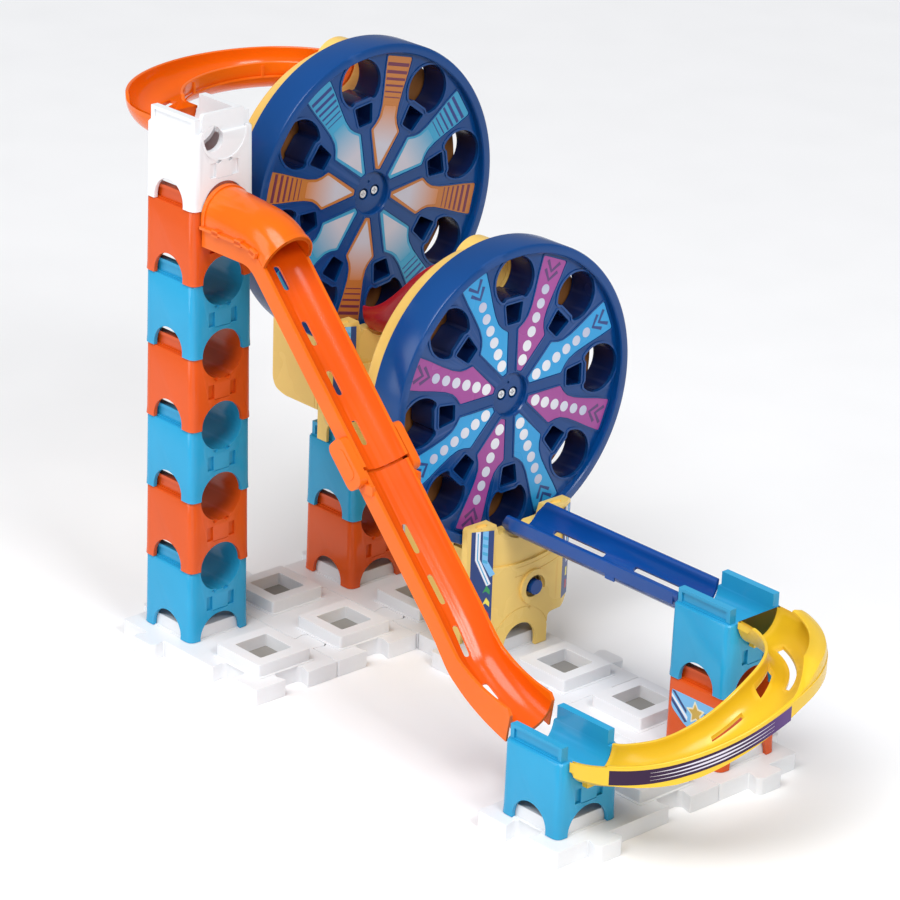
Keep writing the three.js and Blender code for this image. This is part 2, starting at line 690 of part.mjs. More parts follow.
const RIM_INNER = 94.8;
const LIP_INNER = 93.4;
const RIM_CHAMFER = 1.6;
const WEB = 2.6; // thickness of the printed disc
const HUB_FACE = 5.3; // front of the sunken hub disc
const HUB_RADIUS = 15;
const HUB_SCREW_OFFSET = 4.8;
const HUB_SCREW_TURN = -4; // degrees from the first pocket
const SCREW_HEAD = 2.8;
const SCREW_WELL = 3.4; // radius of the well round a screw's head
const SCREW_HOLE = 1.5;
const SLEEVE_WALL = 2.4; // wall round each pocket, behind the disc
const CUP = { near: 48, far: 61.5, nearHalf: 5.5, farHalf: 7.5, wall: 1.6 }; // blind recess below a pocket
const SHAFT_SOCKET = { radius: 8.6, depth: 9 };
const WHEEL_SHAFT_RADIUS = 8.2;

// The wheel about the X axis: a lipped rim, a web, and eight round pockets that carry the marbles.
function liftWheel(phase) {
  const profile = [
    [0, HUB_FACE - WEB],
    [0, HUB_FACE],
    [HUB_RADIUS, HUB_FACE],
    [HUB_RADIUS, WHEEL_FACE],
    [LIP_INNER, WHEEL_FACE],
    [LIP_INNER, WHEEL_FRONT],
    [WHEEL_RADIUS - RIM_CHAMFER, WHEEL_FRONT],
    [WHEEL_RADIUS, WHEEL_FRONT - RIM_CHAMFER],
    [WHEEL_RADIUS, WHEEL_BACK],
    [RIM_INNER, WHEEL_BACK],
    [RIM_INNER, WHEEL_FACE - WEB],
    [HUB_RADIUS - 1, WHEEL_FACE - WEB],
  ].map(([radius, x]) => new THREE.Vector2(radius, x));
  profile.push(profile[0].clone());
  const lathe = new THREE.LatheGeometry(profile, 40);
  const onX = new THREE.Matrix4().makeBasis(axis(0, 1, 0), axis(1, 0, 0), axis(0, 0, -1));
  const body = solid(lathe.applyMatrix4(onX));
  const around = Array.from({ length: POCKET_COUNT }, (_, i) => phase + (360 * i) / POCKET_COUNT);
  const hub = rod(HUB_RADIUS, WHEEL_BACK, HUB_FACE - 0.5);
  const sleeves = around.map((a) => turned(
    rod(POCKET_RADIUS + SLEEVE_WALL, WHEEL_BACK, WHEEL_FACE - 1, 5, POCKET_CIRCLE, 0), a));
  const pockets = around.map((a) => turned(
    rod(POCKET_RADIUS, -BLOCK, BLOCK, 5, POCKET_CIRCLE, 0), a));
  const cup = (grow, from) => prism(
    "yz",
    outline([
      [CUP.near - grow, -CUP.nearHalf - grow],
      [CUP.far + grow, -CUP.farHalf - grow],
      [CUP.far + grow, CUP.farHalf + grow],
      [CUP.near - grow, CUP.nearHalf + grow],
    ]),
    from,
    WHEEL_FACE + (grow ? -1 : 1),
  );
  const cups = around.map((a) => turned(cup(CUP.wall, WHEEL_BACK + 4), a));
  const hollows = around.map((a) => turned(cup(0, WHEEL_BACK + 6), a));
  const screwHoles = hubScrewPlaces(phase).flatMap(([y, z]) => [
    rod(SCREW_WELL, HUB_FACE - 2.4, BLOCK, 5, y, z),
    rod(SCREW_HOLE, -BLOCK, BLOCK, 3, y, z),
  ]);
  const socket = rod(SHAFT_SOCKET.radius, -BLOCK, WHEEL_BACK + SHAFT_SOCKET.depth, 8);
  return cut(join([body, hub, ...sleeves, ...cups]), [...pockets, ...hollows, ...screwHoles, socket]);
}

const COVER_BACK = -30;
const BOX_REAR = -60;
const SKIN = 2.4; // wall thickness of the housings
const PLATE_FRONT = WHEEL_BACK - 1.5;
const PLATE_BACK = PLATE_FRONT - 3;
const GEAR_FRONT = PLATE_BACK - 1;
const GEAR_BACK = GEAR_FRONT - 5;
const SHAFT_BACK = COVER_BACK + SKIN + 0.2;
const SHAFT_RADIUS = 4;
const CRANK_SHAFT_RADIUS = 6;
const CRANK_PEG = { radius: 5, reach: 3.6 }; // its end, in front of the stand
const BEARING_RADIUS = 7;
const PIPE_BORE = POCKET_RADIUS + 0.4; // the outlet behind the topmost pocket
const UNIT_FLOOR = 20; // underside of the housing's overhang above the feet
const GEAR_BOX = [-24, 31]; // sides of the gear box below the drum, along Y
const GEAR_BOX_TOP = HUB_HEIGHT - 60;

const TRACK_SEAT = 22; // where the seat for the incoming track begins, along X
const FOOT_HALF = BLOCK / 2;
const FOOT_ARCH_SPRING = 5;
const SIDE_WAY = { half: 8, spring: 7, x: 4 }; // the small arches through the sides of the foot
const STAND_SIDES = [-43, 46]; // sides of the front panel, along Y
const WING = { from: 26, to: 50, back: 9 }; // the panel's two edges slant back
const INSIDE_TOP = 64.5; // ceiling of the hollow under the wheel
const KEY_HOLE = 7.6; // radius of the hole for a winding key or motor
const LIP_OUTER = 12; // outer radius of the raised lip round it

// The yellow stand of a wheel: a one-cell foot, the box under the wheel and the two front posts.
function wheelStand() {
  const front = outline([
    [-FOOT_HALF, 0],
    [FOOT_HALF, 0],
    [FOOT_HALF, UNIT_FLOOR],
    [STAND_SIDES[1] - 6, UNIT_FLOOR + 1],
    [STAND_SIDES[1], UNIT_FLOOR + 6],
    [STAND_SIDES[1], POST_TOP],
    [STAND_SIDES[0], POST_TOP],
    [STAND_SIDES[0], UNIT_FLOOR + 6],
    [STAND_SIDES[0] + 5, UNIT_FLOOR],
    [-FOOT_HALF, UNIT_FLOOR],
  ]);
  const panel = prism("yz", front, BOX_BACK, BOX_FRONT);
  const wings = [-1, 1].map((sign) => prism("xy", outline([
    [BOX_FRONT + 2, sign * WING.from],
    [BOX_FRONT + 2 - WING.back, sign * WING.to],
    [BOX_FRONT + 2, sign * WING.to],
  ]), -1, 2 * POST_TOP));
  const under = box([PLATE_FRONT + GAP, BOX_BACK + 1], [-FOOT_HALF, FOOT_HALF], [0, INSIDE_TOP + SKIN]);
  const inside = box([PLATE_FRONT - 1, BOX_FRONT - SKIN], [-HOLLOW_HALF, HOLLOW_HALF], [-1, INSIDE_TOP]);
  const insideFront = box(
    [BOX_BACK + SKIN, BOX_FRONT - SKIN],
    [STAND_SIDES[0] + 7, STAND_SIDES[1] - 8],
    [UNIT_FLOOR + 4, INSIDE_TOP],
  );
  const arches = [
    prism("yz", arch(SIDE_ARCH, FOOT_ARCH_SPRING), -BLOCK, BLOCK, 8),
    prism("xz", arch(SIDE_WAY.half, SIDE_WAY.spring), -BLOCK, BLOCK, 8).translate([SIDE_WAY.x, 0, 0]),
  ];
  const ways = [
    [BORE, -BLOCK],
    [IN_CUT.radius, TRACK_SEAT],
  ].flatMap(([radius, from]) => [
    prism("yz", circle(radius, 0, IN_CUT.height), from, BLOCK, 6),
    box([from, BLOCK], [-radius, radius], [IN_CUT.height, 2 * POST_TOP]),
  ]);
  const lip = rod(LIP_OUTER, BOX_FRONT - 1, BOX_FRONT + 2, 6, ...DRIVE_AXIS);
  const lipGap = box([BOX_FRONT, BOX_FRONT + 3], [DRIVE_AXIS[0], BLOCK], [UNIT_FLOOR, DRIVE_AXIS[1] - 3]);
  const keyHole = rod(KEY_HOLE, 0, BLOCK, 6, ...DRIVE_AXIS);
  const body = cut(join([panel, under]), [...wings, inside, insideFront, ...arches, ...ways]);
  return cut(join([body, cut(lip, [lipGap])]), [keyHole]);
}

// The drum's front plate, which closes the backs of the pockets except at the outlet on top.
function drumPlate() {
  const disc = prism("yz", circle(DRUM_RADIUS, 0, HUB_HEIGHT), PLATE_BACK, PLATE_FRONT, 12);
  const skirt = box([PLATE_BACK, PLATE_FRONT], GEAR_BOX, [UNIT_FLOOR, GEAR_BOX_TOP]);
  return cut(join([disc, skirt]), [
    rod(WHEEL_SHAFT_RADIUS + 1, -BLOCK, 0, 8, 0, HUB_HEIGHT),
    rod(PIPE_BORE, -BLOCK, 0, 6, 0, OUTLET_HEIGHT),
    rod(CRANK_SHAFT_RADIUS + 1.2, -BLOCK, 0, 6, ...DRIVE_AXIS),
  ]);
}

// The drum's rear cover, with the outlet pipe, the gear box below and bearings for the three shafts.
function drumCover() {
  const front = PLATE_BACK - GAP;
  const drum = prism("yz", circle(DRUM_RADIUS, 0, HUB_HEIGHT), COVER_BACK, front, 12);
  const lower = prism("xz", outline([
    [front, UNIT_FLOOR],
    [BOX_REAR + 12, UNIT_FLOOR],
    [BOX_REAR + 3, UNIT_FLOOR + 3],
    [BOX_REAR, UNIT_FLOOR + 9],
    [BOX_REAR, GEAR_BOX_TOP - 30],
    [COVER_BACK, GEAR_BOX_TOP],
    [front, GEAR_BOX_TOP],
  ]), ...GEAR_BOX);
  const drumInside = prism("yz", circle(DRUM_RADIUS - SKIN, 0, HUB_HEIGHT), COVER_BACK + SKIN, front + 1, 12);
  const lowerInside = prism("xz", outline([
    [front + 1, UNIT_FLOOR + SKIN],
    [BOX_REAR + 12 + SKIN / 4, UNIT_FLOOR + SKIN],
    [BOX_REAR + SKIN, UNIT_FLOOR + 10],
    [BOX_REAR + SKIN, GEAR_BOX_TOP - 31],
    [COVER_BACK - 1, GEAR_BOX_TOP - 4],
    [front + 1, GEAR_BOX_TOP - 4],
  ]), GEAR_BOX[0] + SKIN, GEAR_BOX[1] - SKIN);
  const pipe = rod(PIPE_BORE + WALL, OUTLET_END, front, 6, 0, OUTLET_HEIGHT);
  const bearings = [[0, HUB_HEIGHT], UPPER_IDLER].map(
    ([y, z]) => rod(BEARING_RADIUS, COVER_BACK, GEAR_BACK - 0.6, 6, y, z),
  );
  const posts = [LOWER_IDLER, DRIVE_AXIS].map(
    ([y, z]) => rod(BEARING_RADIUS, BOX_REAR + 1, GEAR_BACK - 0.6, 6, y, z),
  );
  const pilot = ([y, z], from) => rod(SHAFT_RADIUS + 0.4, from, 0, 6, y, z);
  return cut(join([cut(join([drum, lower]), [drumInside, lowerInside]), pipe, ...bearings, ...posts]), [
    rod(PIPE_BORE, -BLOCK, 0, 6, 0, OUTLET_HEIGHT),
    ...[[0, HUB_HEIGHT], UPPER_IDLER, LOWER_IDLER, DRIVE_AXIS].map((at) => pilot(at, SHAFT_BACK - 0.6)),
  ]);
}

// A gear with a stub shaft behind it, which turns in the cover.
const gearAndStub = (teeth, start, [y, z]) =>
  join([
    prism("yz", gearShape(teeth, start), GEAR_BACK, GEAR_FRONT, 1),
    rod(SHAFT_RADIUS, SHAFT_BACK, GEAR_BACK + 1, 6),
  ]).translate([0, y, z]);

const half = (teeth) => Math.PI / teeth;

// The gear on the wheel's axis, with the shaft that the wheel is screwed to.
function wheelGear(phase) {
  const shaft = rod(WHEEL_SHAFT_RADIUS, GEAR_FRONT - 1, WHEEL_BACK + SHAFT_SOCKET.depth - 0.4, 8);
  const screwHoles = hubScrewPlaces(phase).map(([y, z]) => rod(SCREW_HOLE - 0.1, GEAR_FRONT + 3, BLOCK, 3, y, z));
  return cut(join([gearAndStub(WHEEL_TEETH, GEAR_LINE.angle, [0, 0]), shaft]), screwHoles)
    .translate([0, 0, HUB_HEIGHT]);
}

// The crank shaft: its pinion, its stub and the long shaft to the round hole in the front.
function crankShaft() {
  const pinion = gearAndStub(PINION_TEETH, GEAR_LINE.angle + half(PINION_TEETH), DRIVE_AXIS);
  const shaft = rod(CRANK_SHAFT_RADIUS, GEAR_FRONT - 1, BOX_FRONT - 5, 8, ...DRIVE_AXIS);
  const peg = rod(CRANK_PEG.radius, BOX_FRONT - 6, BOX_FRONT + CRANK_PEG.reach, 8, ...DRIVE_AXIS);
  return join([pinion, shaft, peg]);
}

// Where the two hub screws stand round the wheel's axis.
function hubScrewPlaces(phase) {
  const angle = THREE.MathUtils.degToRad(phase + HUB_SCREW_TURN);
  return [-1, 1].map((sign) => [
    sign * HUB_SCREW_OFFSET * Math.cos(angle),
    sign * HUB_SCREW_OFFSET * Math.sin(angle),
  ]);
}

function hubScrew([y, z]) {
  const head = rod(SCREW_HEAD, HUB_FACE - 2.1, HUB_FACE - 0.4, 6, y, z);
  return join([head, rod(1, GEAR_FRONT + 4, HUB_FACE - 2, 3, y, z)])
    .translate([0, 0, HUB_HEIGHT]);
}

// ---- Tracks that meet the wheels ----

const LIFT_X = 2 * CELL; // the lower wheel's cell; the upper one stands at X = 0
const TRACK_ROW = 2 * CELL;

const SLOT_TILT = THREE.MathUtils.degToRad(36); // how far up the floor's far side the slots lie

// The dark blue straight track, level, from the track tower into the lower wheel's stand.
function blueTrack() {
  const from = LIFT_X + TRACK_SEAT + GAP;
  const to = 5 * CELL - BLOCK_HALF - 1;
  const stations = [from, to].map((x) => slopeStation(x, IN_CUT.height, 0));
  const slots = [from + 55, to - 28].map((x) => {
    const station = slopeStation(x, IN_CUT.height, 0);
    return floorSlot({ ...station, up: axis(0, -Math.sin(SLOT_TILT), Math.cos(SLOT_TILT)) }, 44, 4);
  });
  return cut(sweep(channelSection(TRACK_INNER, TRACK_WALL, 0.6), stations), slots);
}

// The red chute from the lower wheel's outlet down to the upper wheel's stand.
function redChute() {
  const high = { x: LIFT_X + OUTLET_END - 1, z: OUTLET_HEIGHT };
  const low = { x: TRACK_SEAT + GAP, z: 2 * LEVEL + IN_CUT.height };
  const stations = evenly(0, 1, 10).map((t) => {
    const slope = Math.atan2(6 * t * (1 - t) * (high.z - low.z), high.x - low.x);
    const station = slopeStation(high.x + (low.x - high.x) * t, high.z + (low.z - high.z) * smooth(t), -slope);
    return { ...station, across: axis(0, -1, 0) };
  });
  return sweep(channelSection(TRACK_INNER, TRACK_WALL, 3), stations);
}

// The orange bend at the top, from the upper wheel's outlet round to the drop block.
function topBend() {
  const high = 2 * LEVEL + OUTLET_HEIGHT;
  const low = 7 * LEVEL + 0.5;
  const start = OUTLET_END - 1;
  const round = bendStations(start, -TOP_BULGE, (t) => low + (high - low) * smooth(t), 16);
  const end = { ...round[0], at: round[0].at.clone().setX(-BLOCK_HALF - 1.2) };
  const slot = round[8].at;
  return cut(sweep(channelSection(TRACK_INNER, TRACK_WALL, 3), [end, ...round]), [
    box([slot.x - 4, slot.x + 4], [slot.y - 9, slot.y + 9], [slot.z - 30, slot.z - 8]),
  ]);
}

const upperTracks = groupAt(0, 0, PLATE + GAP);
addPiece("blue_track", blueTrack().translate([0, TRACK_ROW, 0]), "trackBlue", upperTracks);
addPiece("red_chute", redChute().translate([0, TRACK_ROW, 0]), "red", upperTracks);
addPiece("top_bend", topBend(), "rampOrange", upperTracks);

const UNITS = [
  { name: "upper_lift", cell: [0, 2], level: 2, phase: 9.2 },
  { name: "lower_lift", cell: [2, 2], level: 0, phase: 0.5 },
];

for (const { name, cell, level, phase } of UNITS) {
  const unit = groupAt(cell[0] * CELL, cell[1] * CELL, PLATE + GAP + level * LEVEL);
  addPiece(`${name}_stand`, wheelStand(), "yellow", unit);
  addPiece(`${name}_drum_plate`, drumPlate(), "yellow", unit);
  addPiece(`${name}_drum_cover`, drumCover(), "yellow", unit);
  addPiece(`${name}_wheel`, liftWheel(phase).translate([0, 0, HUB_HEIGHT]), "wheelBlue", unit);
  addPiece(`${name}_wheel_gear`, wheelGear(phase), "trackBlue", unit);
  const idlerStart = GEAR_LINE.angle + half(IDLER_TEETH);
  addPiece(`${name}_upper_idler`, gearAndStub(IDLER_TEETH, idlerStart, UPPER_IDLER), "white", unit);
  addPiece(`${name}_lower_idler`, gearAndStub(IDLER_TEETH, GEAR_LINE.angle, LOWER_IDLER), "white", unit);
  addPiece(`${name}_crank_shaft`, crankShaft(), "trackBlue", unit);
  hubScrewPlaces(phase).forEach((place, i) => {
    addPiece(`${name}_hub_screw_${i + 1}`, hubScrew(place), "steel", unit);
  });
}

export default run;
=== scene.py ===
"""The looks of a tabletop marble run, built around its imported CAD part.

Lengths are in millimetres until a piece is finished.
"""

import json
import math

import bmesh
import bpy
from mathutils import Matrix, Vector


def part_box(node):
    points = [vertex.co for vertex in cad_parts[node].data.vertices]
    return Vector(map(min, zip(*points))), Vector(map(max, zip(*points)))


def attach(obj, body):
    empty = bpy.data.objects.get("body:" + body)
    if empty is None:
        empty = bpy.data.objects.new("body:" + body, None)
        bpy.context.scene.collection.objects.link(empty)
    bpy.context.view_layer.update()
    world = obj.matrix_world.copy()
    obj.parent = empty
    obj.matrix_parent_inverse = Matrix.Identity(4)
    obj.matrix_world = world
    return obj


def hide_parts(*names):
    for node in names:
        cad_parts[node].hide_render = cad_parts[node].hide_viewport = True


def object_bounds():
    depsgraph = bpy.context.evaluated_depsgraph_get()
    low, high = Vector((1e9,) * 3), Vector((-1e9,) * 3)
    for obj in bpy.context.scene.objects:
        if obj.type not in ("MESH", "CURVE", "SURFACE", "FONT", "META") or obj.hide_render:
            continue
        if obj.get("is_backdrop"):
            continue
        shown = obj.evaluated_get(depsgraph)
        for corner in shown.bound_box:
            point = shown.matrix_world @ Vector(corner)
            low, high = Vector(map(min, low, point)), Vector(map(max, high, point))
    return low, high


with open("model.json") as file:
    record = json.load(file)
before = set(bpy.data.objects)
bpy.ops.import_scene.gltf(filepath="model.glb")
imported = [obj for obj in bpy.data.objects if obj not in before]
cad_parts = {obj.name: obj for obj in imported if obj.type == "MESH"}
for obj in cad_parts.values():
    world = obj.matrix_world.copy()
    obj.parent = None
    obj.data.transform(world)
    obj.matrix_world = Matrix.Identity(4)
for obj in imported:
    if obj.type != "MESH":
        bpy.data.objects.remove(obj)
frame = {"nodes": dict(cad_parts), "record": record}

CAD_BOX = [list(corner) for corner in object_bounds()]
MM = 0.001
BLOCK, CELL, LEVEL, PLATE, GAP = 48.0, 68.0, 48.6, 11.2, 0.3
BLOCK_HALF, HOLLOW_HALF, BORE = 24.0, 21.8, 16.3
FLOOR_R, WALL = 16.0, 2.2
TRACK_HALF = FLOOR_R + WALL
ROOT = "stand_and_tracks"
scene = bpy.context.scene

# ---------------------------------------------------------------- shapes


def make(verts, faces):
    """A temporary object from points in millimetres."""
    mesh = bpy.data.meshes.new("shape")
    mesh.from_pydata([tuple(v) for v in verts], [], faces)
    bm = bmesh.new()
    bm.from_mesh(mesh)
    bmesh.ops.remove_doubles(bm, verts=bm.verts, dist=1e-4)
    bmesh.ops.recalc_face_normals(bm, faces=bm.faces)
    bm.to_mesh(mesh)
    bm.free()
    shape = bpy.data.objects.new("shape", mesh)
    scene.collection.objects.link(shape)
    return shape


PLANES = {
    "xy": lambda u, v, w: (u, v, w),
    "yz": lambda u, v, w: (w, u, v),
    "xz": lambda u, v, w: (u, w, v),
}


def prism(plane, points, low, high):
    """An outline extruded from low to high along the axis it isn't drawn in."""
    at = PLANES[plane]
    n = len(points)
    verts = [at(u, v, w) for w in (low, high) for u, v in points]
    faces = [(i, (i + 1) % n, n + (i + 1) % n, n + i) for i in range(n)]
    return make(verts, faces + [tuple(range(n)), tuple(range(2 * n - 1, n - 1, -1))])


def box(x, y, z):
    return prism("xy", rectangle(*x, *y), *z)


def circle(r, cx=0.0, cy=0.0, n=48):
    angles = [2 * math.pi * i / n for i in range(n)]
    return [(cx + r * math.cos(a), cy + r * math.sin(a)) for a in angles]


def rounded(points, radius, n=5):
    """An outline with its corners rounded. radius is one number or one for each corner."""
    out = []
    count = len(points)
    for i, p in enumerate(points):
        r = radius[i] if isinstance(radius, (list, tuple)) else radius
        p, a, b = Vector(p), Vector(points[i - 1]), Vector(points[(i + 1) % count])
        if r <= 0:
            out.append(tuple(p))
            continue
        u, v = (a - p), (b - p)
        r = min(r, 0.48 * u.length, 0.48 * v.length)
        start, end = p + u.normalized() * r, p + v.normalized() * r
        for k in range(n + 1):
            t = k / n
            out.append(tuple(start * (1 - t) ** 2 + p * 2 * t * (1 - t) + end * t * t))
    return out


def rectangle(x0, x1, y0, y1, radius=0.0, n=6):
    points = [(x0, y0), (x1, y0), (x1, y1), (x0, y1)]
    return rounded(points, radius, n) if radius else points


def arch(half, spring, low=-1.0, n=24):
    angles = [math.pi * i / n for i in range(n + 1)]
    curve = [(half * math.cos(a), spring + half * math.sin(a)) for a in angles]
    return curve + [(-half, low), (half, low)]


def loft(loops, closed=False):
    """A solid through loops of points that all have the same number of points."""
    n = len(loops[0])
    verts = [p for loop in loops for p in loop]
    rows = len(loops) if closed else len(loops) - 1
    faces = []
    for i in range(rows):
        j = (i + 1) % len(loops)
        faces += [(i * n + k, i * n + (k + 1) % n, j * n + (k + 1) % n, j * n + k) for k in range(n)]
    if not closed:
        faces += [tuple(range(n)), tuple(range(len(verts) - n, len(verts)))]
    return make(verts, faces)


def lathe(profile, n=120):
    """A profile of (radius, x) turned about the X axis."""
    loops = []
    for i in range(n):
        a = 2 * math.pi * i / n
        loops.append([(x, r * math.cos(a), r * math.sin(a)) for r, x in profile])
    return loft(loops, closed=True)


def boolean(shape, tools, operation):
    tools = [t for t in tools if t is not None]
    for tool in tools:
        modifier = shape.modifiers.new("cut", "BOOLEAN")
        modifier.operation = operation
        modifier.solver = "EXACT"
        modifier.object = tool
    evaluated = shape.evaluated_get(bpy.context.evaluated_depsgraph_get())
    mesh = bpy.data.meshes.new_from_object(evaluated)
    shape.modifiers.clear()
    shape.data = mesh
    for tool in tools:
        bpy.data.objects.remove(tool)
    return shape


def cut(shape, *tools):
    return boolean(shape, tools, "DIFFERENCE")


def union(shape, *tools):
    return boolean(shape, tools, "UNION")


def together(*shapes):
    """Several shapes in one mesh, each keeping its own surface. A shape's material numbers are kept."""
    bm = bmesh.new()
    for shape in shapes:
        shape.data.transform(shape.matrix_basis)
        bm.from_mesh(shape.data)
        bpy.data.objects.remove(shape)
    mesh = bpy.data.meshes.new("shape")
    bm.to_mesh(mesh)
    bm.free()
    joined = bpy.data.objects.new("shape", mesh)
    scene.collection.objects.link(joined)
    return joined


def moved(shape, x=0.0, y=0.0, z=0.0, turn=0.0, about="X"):
    shape.data.transform(Matrix.Translation((x, y, z)) @ Matrix.Rotation(math.radians(turn), 4, about))
    return shape


def painted(shape, index):
    """Gives every face of a shape the same material number."""
    for polygon in shape.data.polygons:
        polygon.material_index = index
    return shape


def finish(name, shape, materials, body=ROOT, nodes=(), slot=None, at=(0, 0, 0), bevel=0.4, sharp=38):
    """Turns a shape in millimetres into a finished piece in metres that rides on a body."""
    mesh = shape.data
    bm = bmesh.new()
    bm.from_mesh(mesh)
    bmesh.ops.remove_doubles(bm, verts=bm.verts, dist=2e-3)
    bmesh.ops.dissolve_degenerate(bm, edges=bm.edges, dist=2e-3)
    bm.transform(Matrix.Scale(MM, 4) @ Matrix.Translation(at))
    bm.to_mesh(mesh)
    bm.free()
    mesh.name = shape.name = name
    for material in materials:
        mesh.materials.append(material)
    for polygon in mesh.polygons:
        polygon.use_smooth = True
    mesh.set_sharp_from_angle(angle=math.radians(sharp))
    if bevel:
        modifier = shape.modifiers.new("edges", "BEVEL")
        modifier.width = bevel * MM
        modifier.segments = 2
        modifier.limit_method = "ANGLE"
        modifier.angle_limit = math.radians(sharp)
        modifier.harden_normals = True
        modifier.use_clamp_overlap = True
    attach(shape, body)
    if nodes:
        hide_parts(*nodes)
    return shape


def detail(node, shape, materials, slot, name=None, **rest):
    """Finishes the detailed piece that takes the place of one CAD node."""
    finish((name or node) + "_moulding", shape, materials, nodes=[node], slot=slot, **rest)


# ---------------------------------------------------------------- materials


def plastic(name, colour, shade=0.86, rough=0.24, grain=0.02, glow=0.06, scale=900.0):
    """Moulded plastic: slow colour drift, paler colour on sharp convex edges, uneven gloss and a fine moulded
    grain.
    """
    material = bpy.data.materials.new(name)
    material.use_nodes = True
    nodes, links = material.node_tree.nodes, material.node_tree.links
    shader = nodes["Principled BSDF"]
    place = nodes.new("ShaderNodeTexCoord")
    drift = nodes.new("ShaderNodeTexNoise")
    drift.inputs["Scale"].default_value = 14.0
    drift.inputs["Detail"].default_value = 3.0
    links.new(place.outputs["Object"], drift.inputs["Vector"])
    ramp = nodes.new("ShaderNodeValToRGB")
    ramp.color_ramp.elements[0].position = 0.3
    ramp.color_ramp.elements[1].position = 0.7
    ramp.color_ramp.elements[0].color = [c * shade for c in colour] + [1]
    ramp.color_ramp.elements[1].color = list(colour) + [1]
    links.new(drift.outputs["Fac"], ramp.inputs["Fac"])
    # Sharp convex edges, found by pointiness, are mixed towards a paler colour.
    geometry = nodes.new("ShaderNodeNewGeometry")
    edge = nodes.new("ShaderNodeValToRGB")
    edge.color_ramp.elements[0].position = 0.52
    edge.color_ramp.elements[1].position = 0.62
    edge.color_ramp.elements[1].color = (0.35, 0.35, 0.35, 1)
    links.new(geometry.outputs["Pointiness"], edge.inputs["Fac"])
    paler_edges = nodes.new("ShaderNodeMix")
    paler_edges.data_type = "RGBA"
    paler_edges.inputs["B"].default_value = [min(1.0, c * 1.15 + 0.05) for c in colour] + [1]
    links.new(edge.outputs["Color"], paler_edges.inputs["Factor"])
    links.new(ramp.outputs["Color"], paler_edges.inputs["A"])
    links.new(paler_edges.outputs["Result"], shader.inputs["Base Color"])
    fine = nodes.new("ShaderNodeTexNoise")
    fine.inputs["Scale"].default_value = scale
    fine.inputs["Detail"].default_value = 2.0
    links.new(place.outputs["Object"], fine.inputs["Vector"])
    gloss = nodes.new("ShaderNodeMapRange")
    gloss.inputs["To Min"].default_value = rough * 0.8
    gloss.inputs["To Max"].default_value = rough * 1.3
    links.new(drift.outputs["Fac"], gloss.inputs["Value"])
    links.new(gloss.outputs["Result"], shader.inputs["Roughness"])
    bump = nodes.new("ShaderNodeBump")
    bump.inputs["Strength"].default_value = grain
    bump.inputs["Distance"].default_value = 0.0004
    links.new(fine.outputs["Fac"], bump.inputs["Height"])
    links.new(bump.outputs["Normal"], shader.inputs["Normal"])
    shader.inputs["Specular IOR Level"].default_value = 0.35
    shader.inputs["Subsurface Weight"].default_value = glow
    shader.inputs["Subsurface Radius"].default_value = (0.004, 0.003, 0.003)
    shader.inputs["Subsurface Scale"].default_value = 0.6
    return material


def print_ink(name, colour, fade=None, centre=None, reach=(0.04, 0.09), rough=0.3):
    """Printed ink or sticker film: one colour, or a fade outwards from a centre, with a slight mottle."""
    material = plastic(name, colour, shade=0.93, rough=rough, grain=0.01, glow=0.0, scale=500.0)
    if fade:
        nodes, links = material.node_tree.nodes, material.node_tree.links
        place = nodes.new("ShaderNodeTexCoord")
        away = nodes.new("ShaderNodeVectorMath")
        away.operation = "DISTANCE"
        away.inputs[1].default_value = centre
        links.new(place.outputs["Object"], away.inputs[0])
        share = nodes.new("ShaderNodeMapRange")
        share.inputs["From Min"].default_value, share.inputs["From Max"].default_value = reach
        links.new(away.outputs["Value"], share.inputs["Value"])
        mix = nodes.new("ShaderNodeMix")
        mix.data_type = "RGBA"
        mix.inputs["A"].default_value = list(colour) + [1]
        mix.inputs["B"].default_value = list(fade) + [1]
        links.new(share.outputs["Result"], mix.inputs["Factor"])
        links.new(mix.outputs["Result"], nodes["Principled BSDF"].inputs["Base Color"])
    return material


def metal(name, colour, rough=0.28):
    """Zinc-plated steel with fine turning marks."""
    material = bpy.data.materials.new(name)
    material.use_nodes = True
    nodes, links = material.node_tree.nodes, material.node_tree.links
    shader = nodes["Principled BSDF"]
    shader.inputs["Base Color"].default_value = list(colour) + [1]
    shader.inputs["Metallic"].default_value = 1.0
    place = nodes.new("ShaderNodeTexCoord")
    noise = nodes.new("ShaderNodeTexNoise")
    noise.inputs["Scale"].default_value = 2500.0
    links.new(place.outputs["Object"], noise.inputs["Vector"])
    gloss = nodes.new("ShaderNodeMapRange")
    gloss.inputs["To Min"].default_value = rough * 0.7
    gloss.inputs["To Max"].default_value = rough * 1.4
    links.new(noise.outputs["Fac"], gloss.inputs["Value"])
    links.new(gloss.outputs["Result"], shader.inputs["Roughness"])
    return material


WHITE = plastic("white_plastic", (0.8, 0.81, 0.83), shade=0.97, rough=0.3)
SKY = plastic("sky_blue_plastic", (0.022, 0.36, 0.64), rough=0.15)
ORANGE = plastic("orange_plastic", (0.74, 0.095, 0.008), rough=0.17)
RAMP = plastic("ramp_orange_plastic", (0.92, 0.155, 0.003), rough=0.16)
# A darker, redder orange for the inside of the ramp floors: painted shade within the channel.
RAMP_INSIDE_SHADE = plastic("painted_shade_ramp_inside", (0.86, 0.108, 0.003), rough=0.16)
YELLOW = plastic("yellow_plastic", (0.95, 0.62, 0.16), rough=0.26)
# Dark orange-brown for the front face of the drum plate: painted shade on the yellow plate behind the wheel.
PLATE_SHADE = plastic("painted_shade_plate_face", (0.3, 0.115, 0.03), rough=0.3)
DEEP = plastic("deep_yellow_plastic", (0.84, 0.53, 0.02), rough=0.24)
WHEEL = plastic("wheel_blue_plastic", (0.001, 0.058, 0.24), rough=0.2)
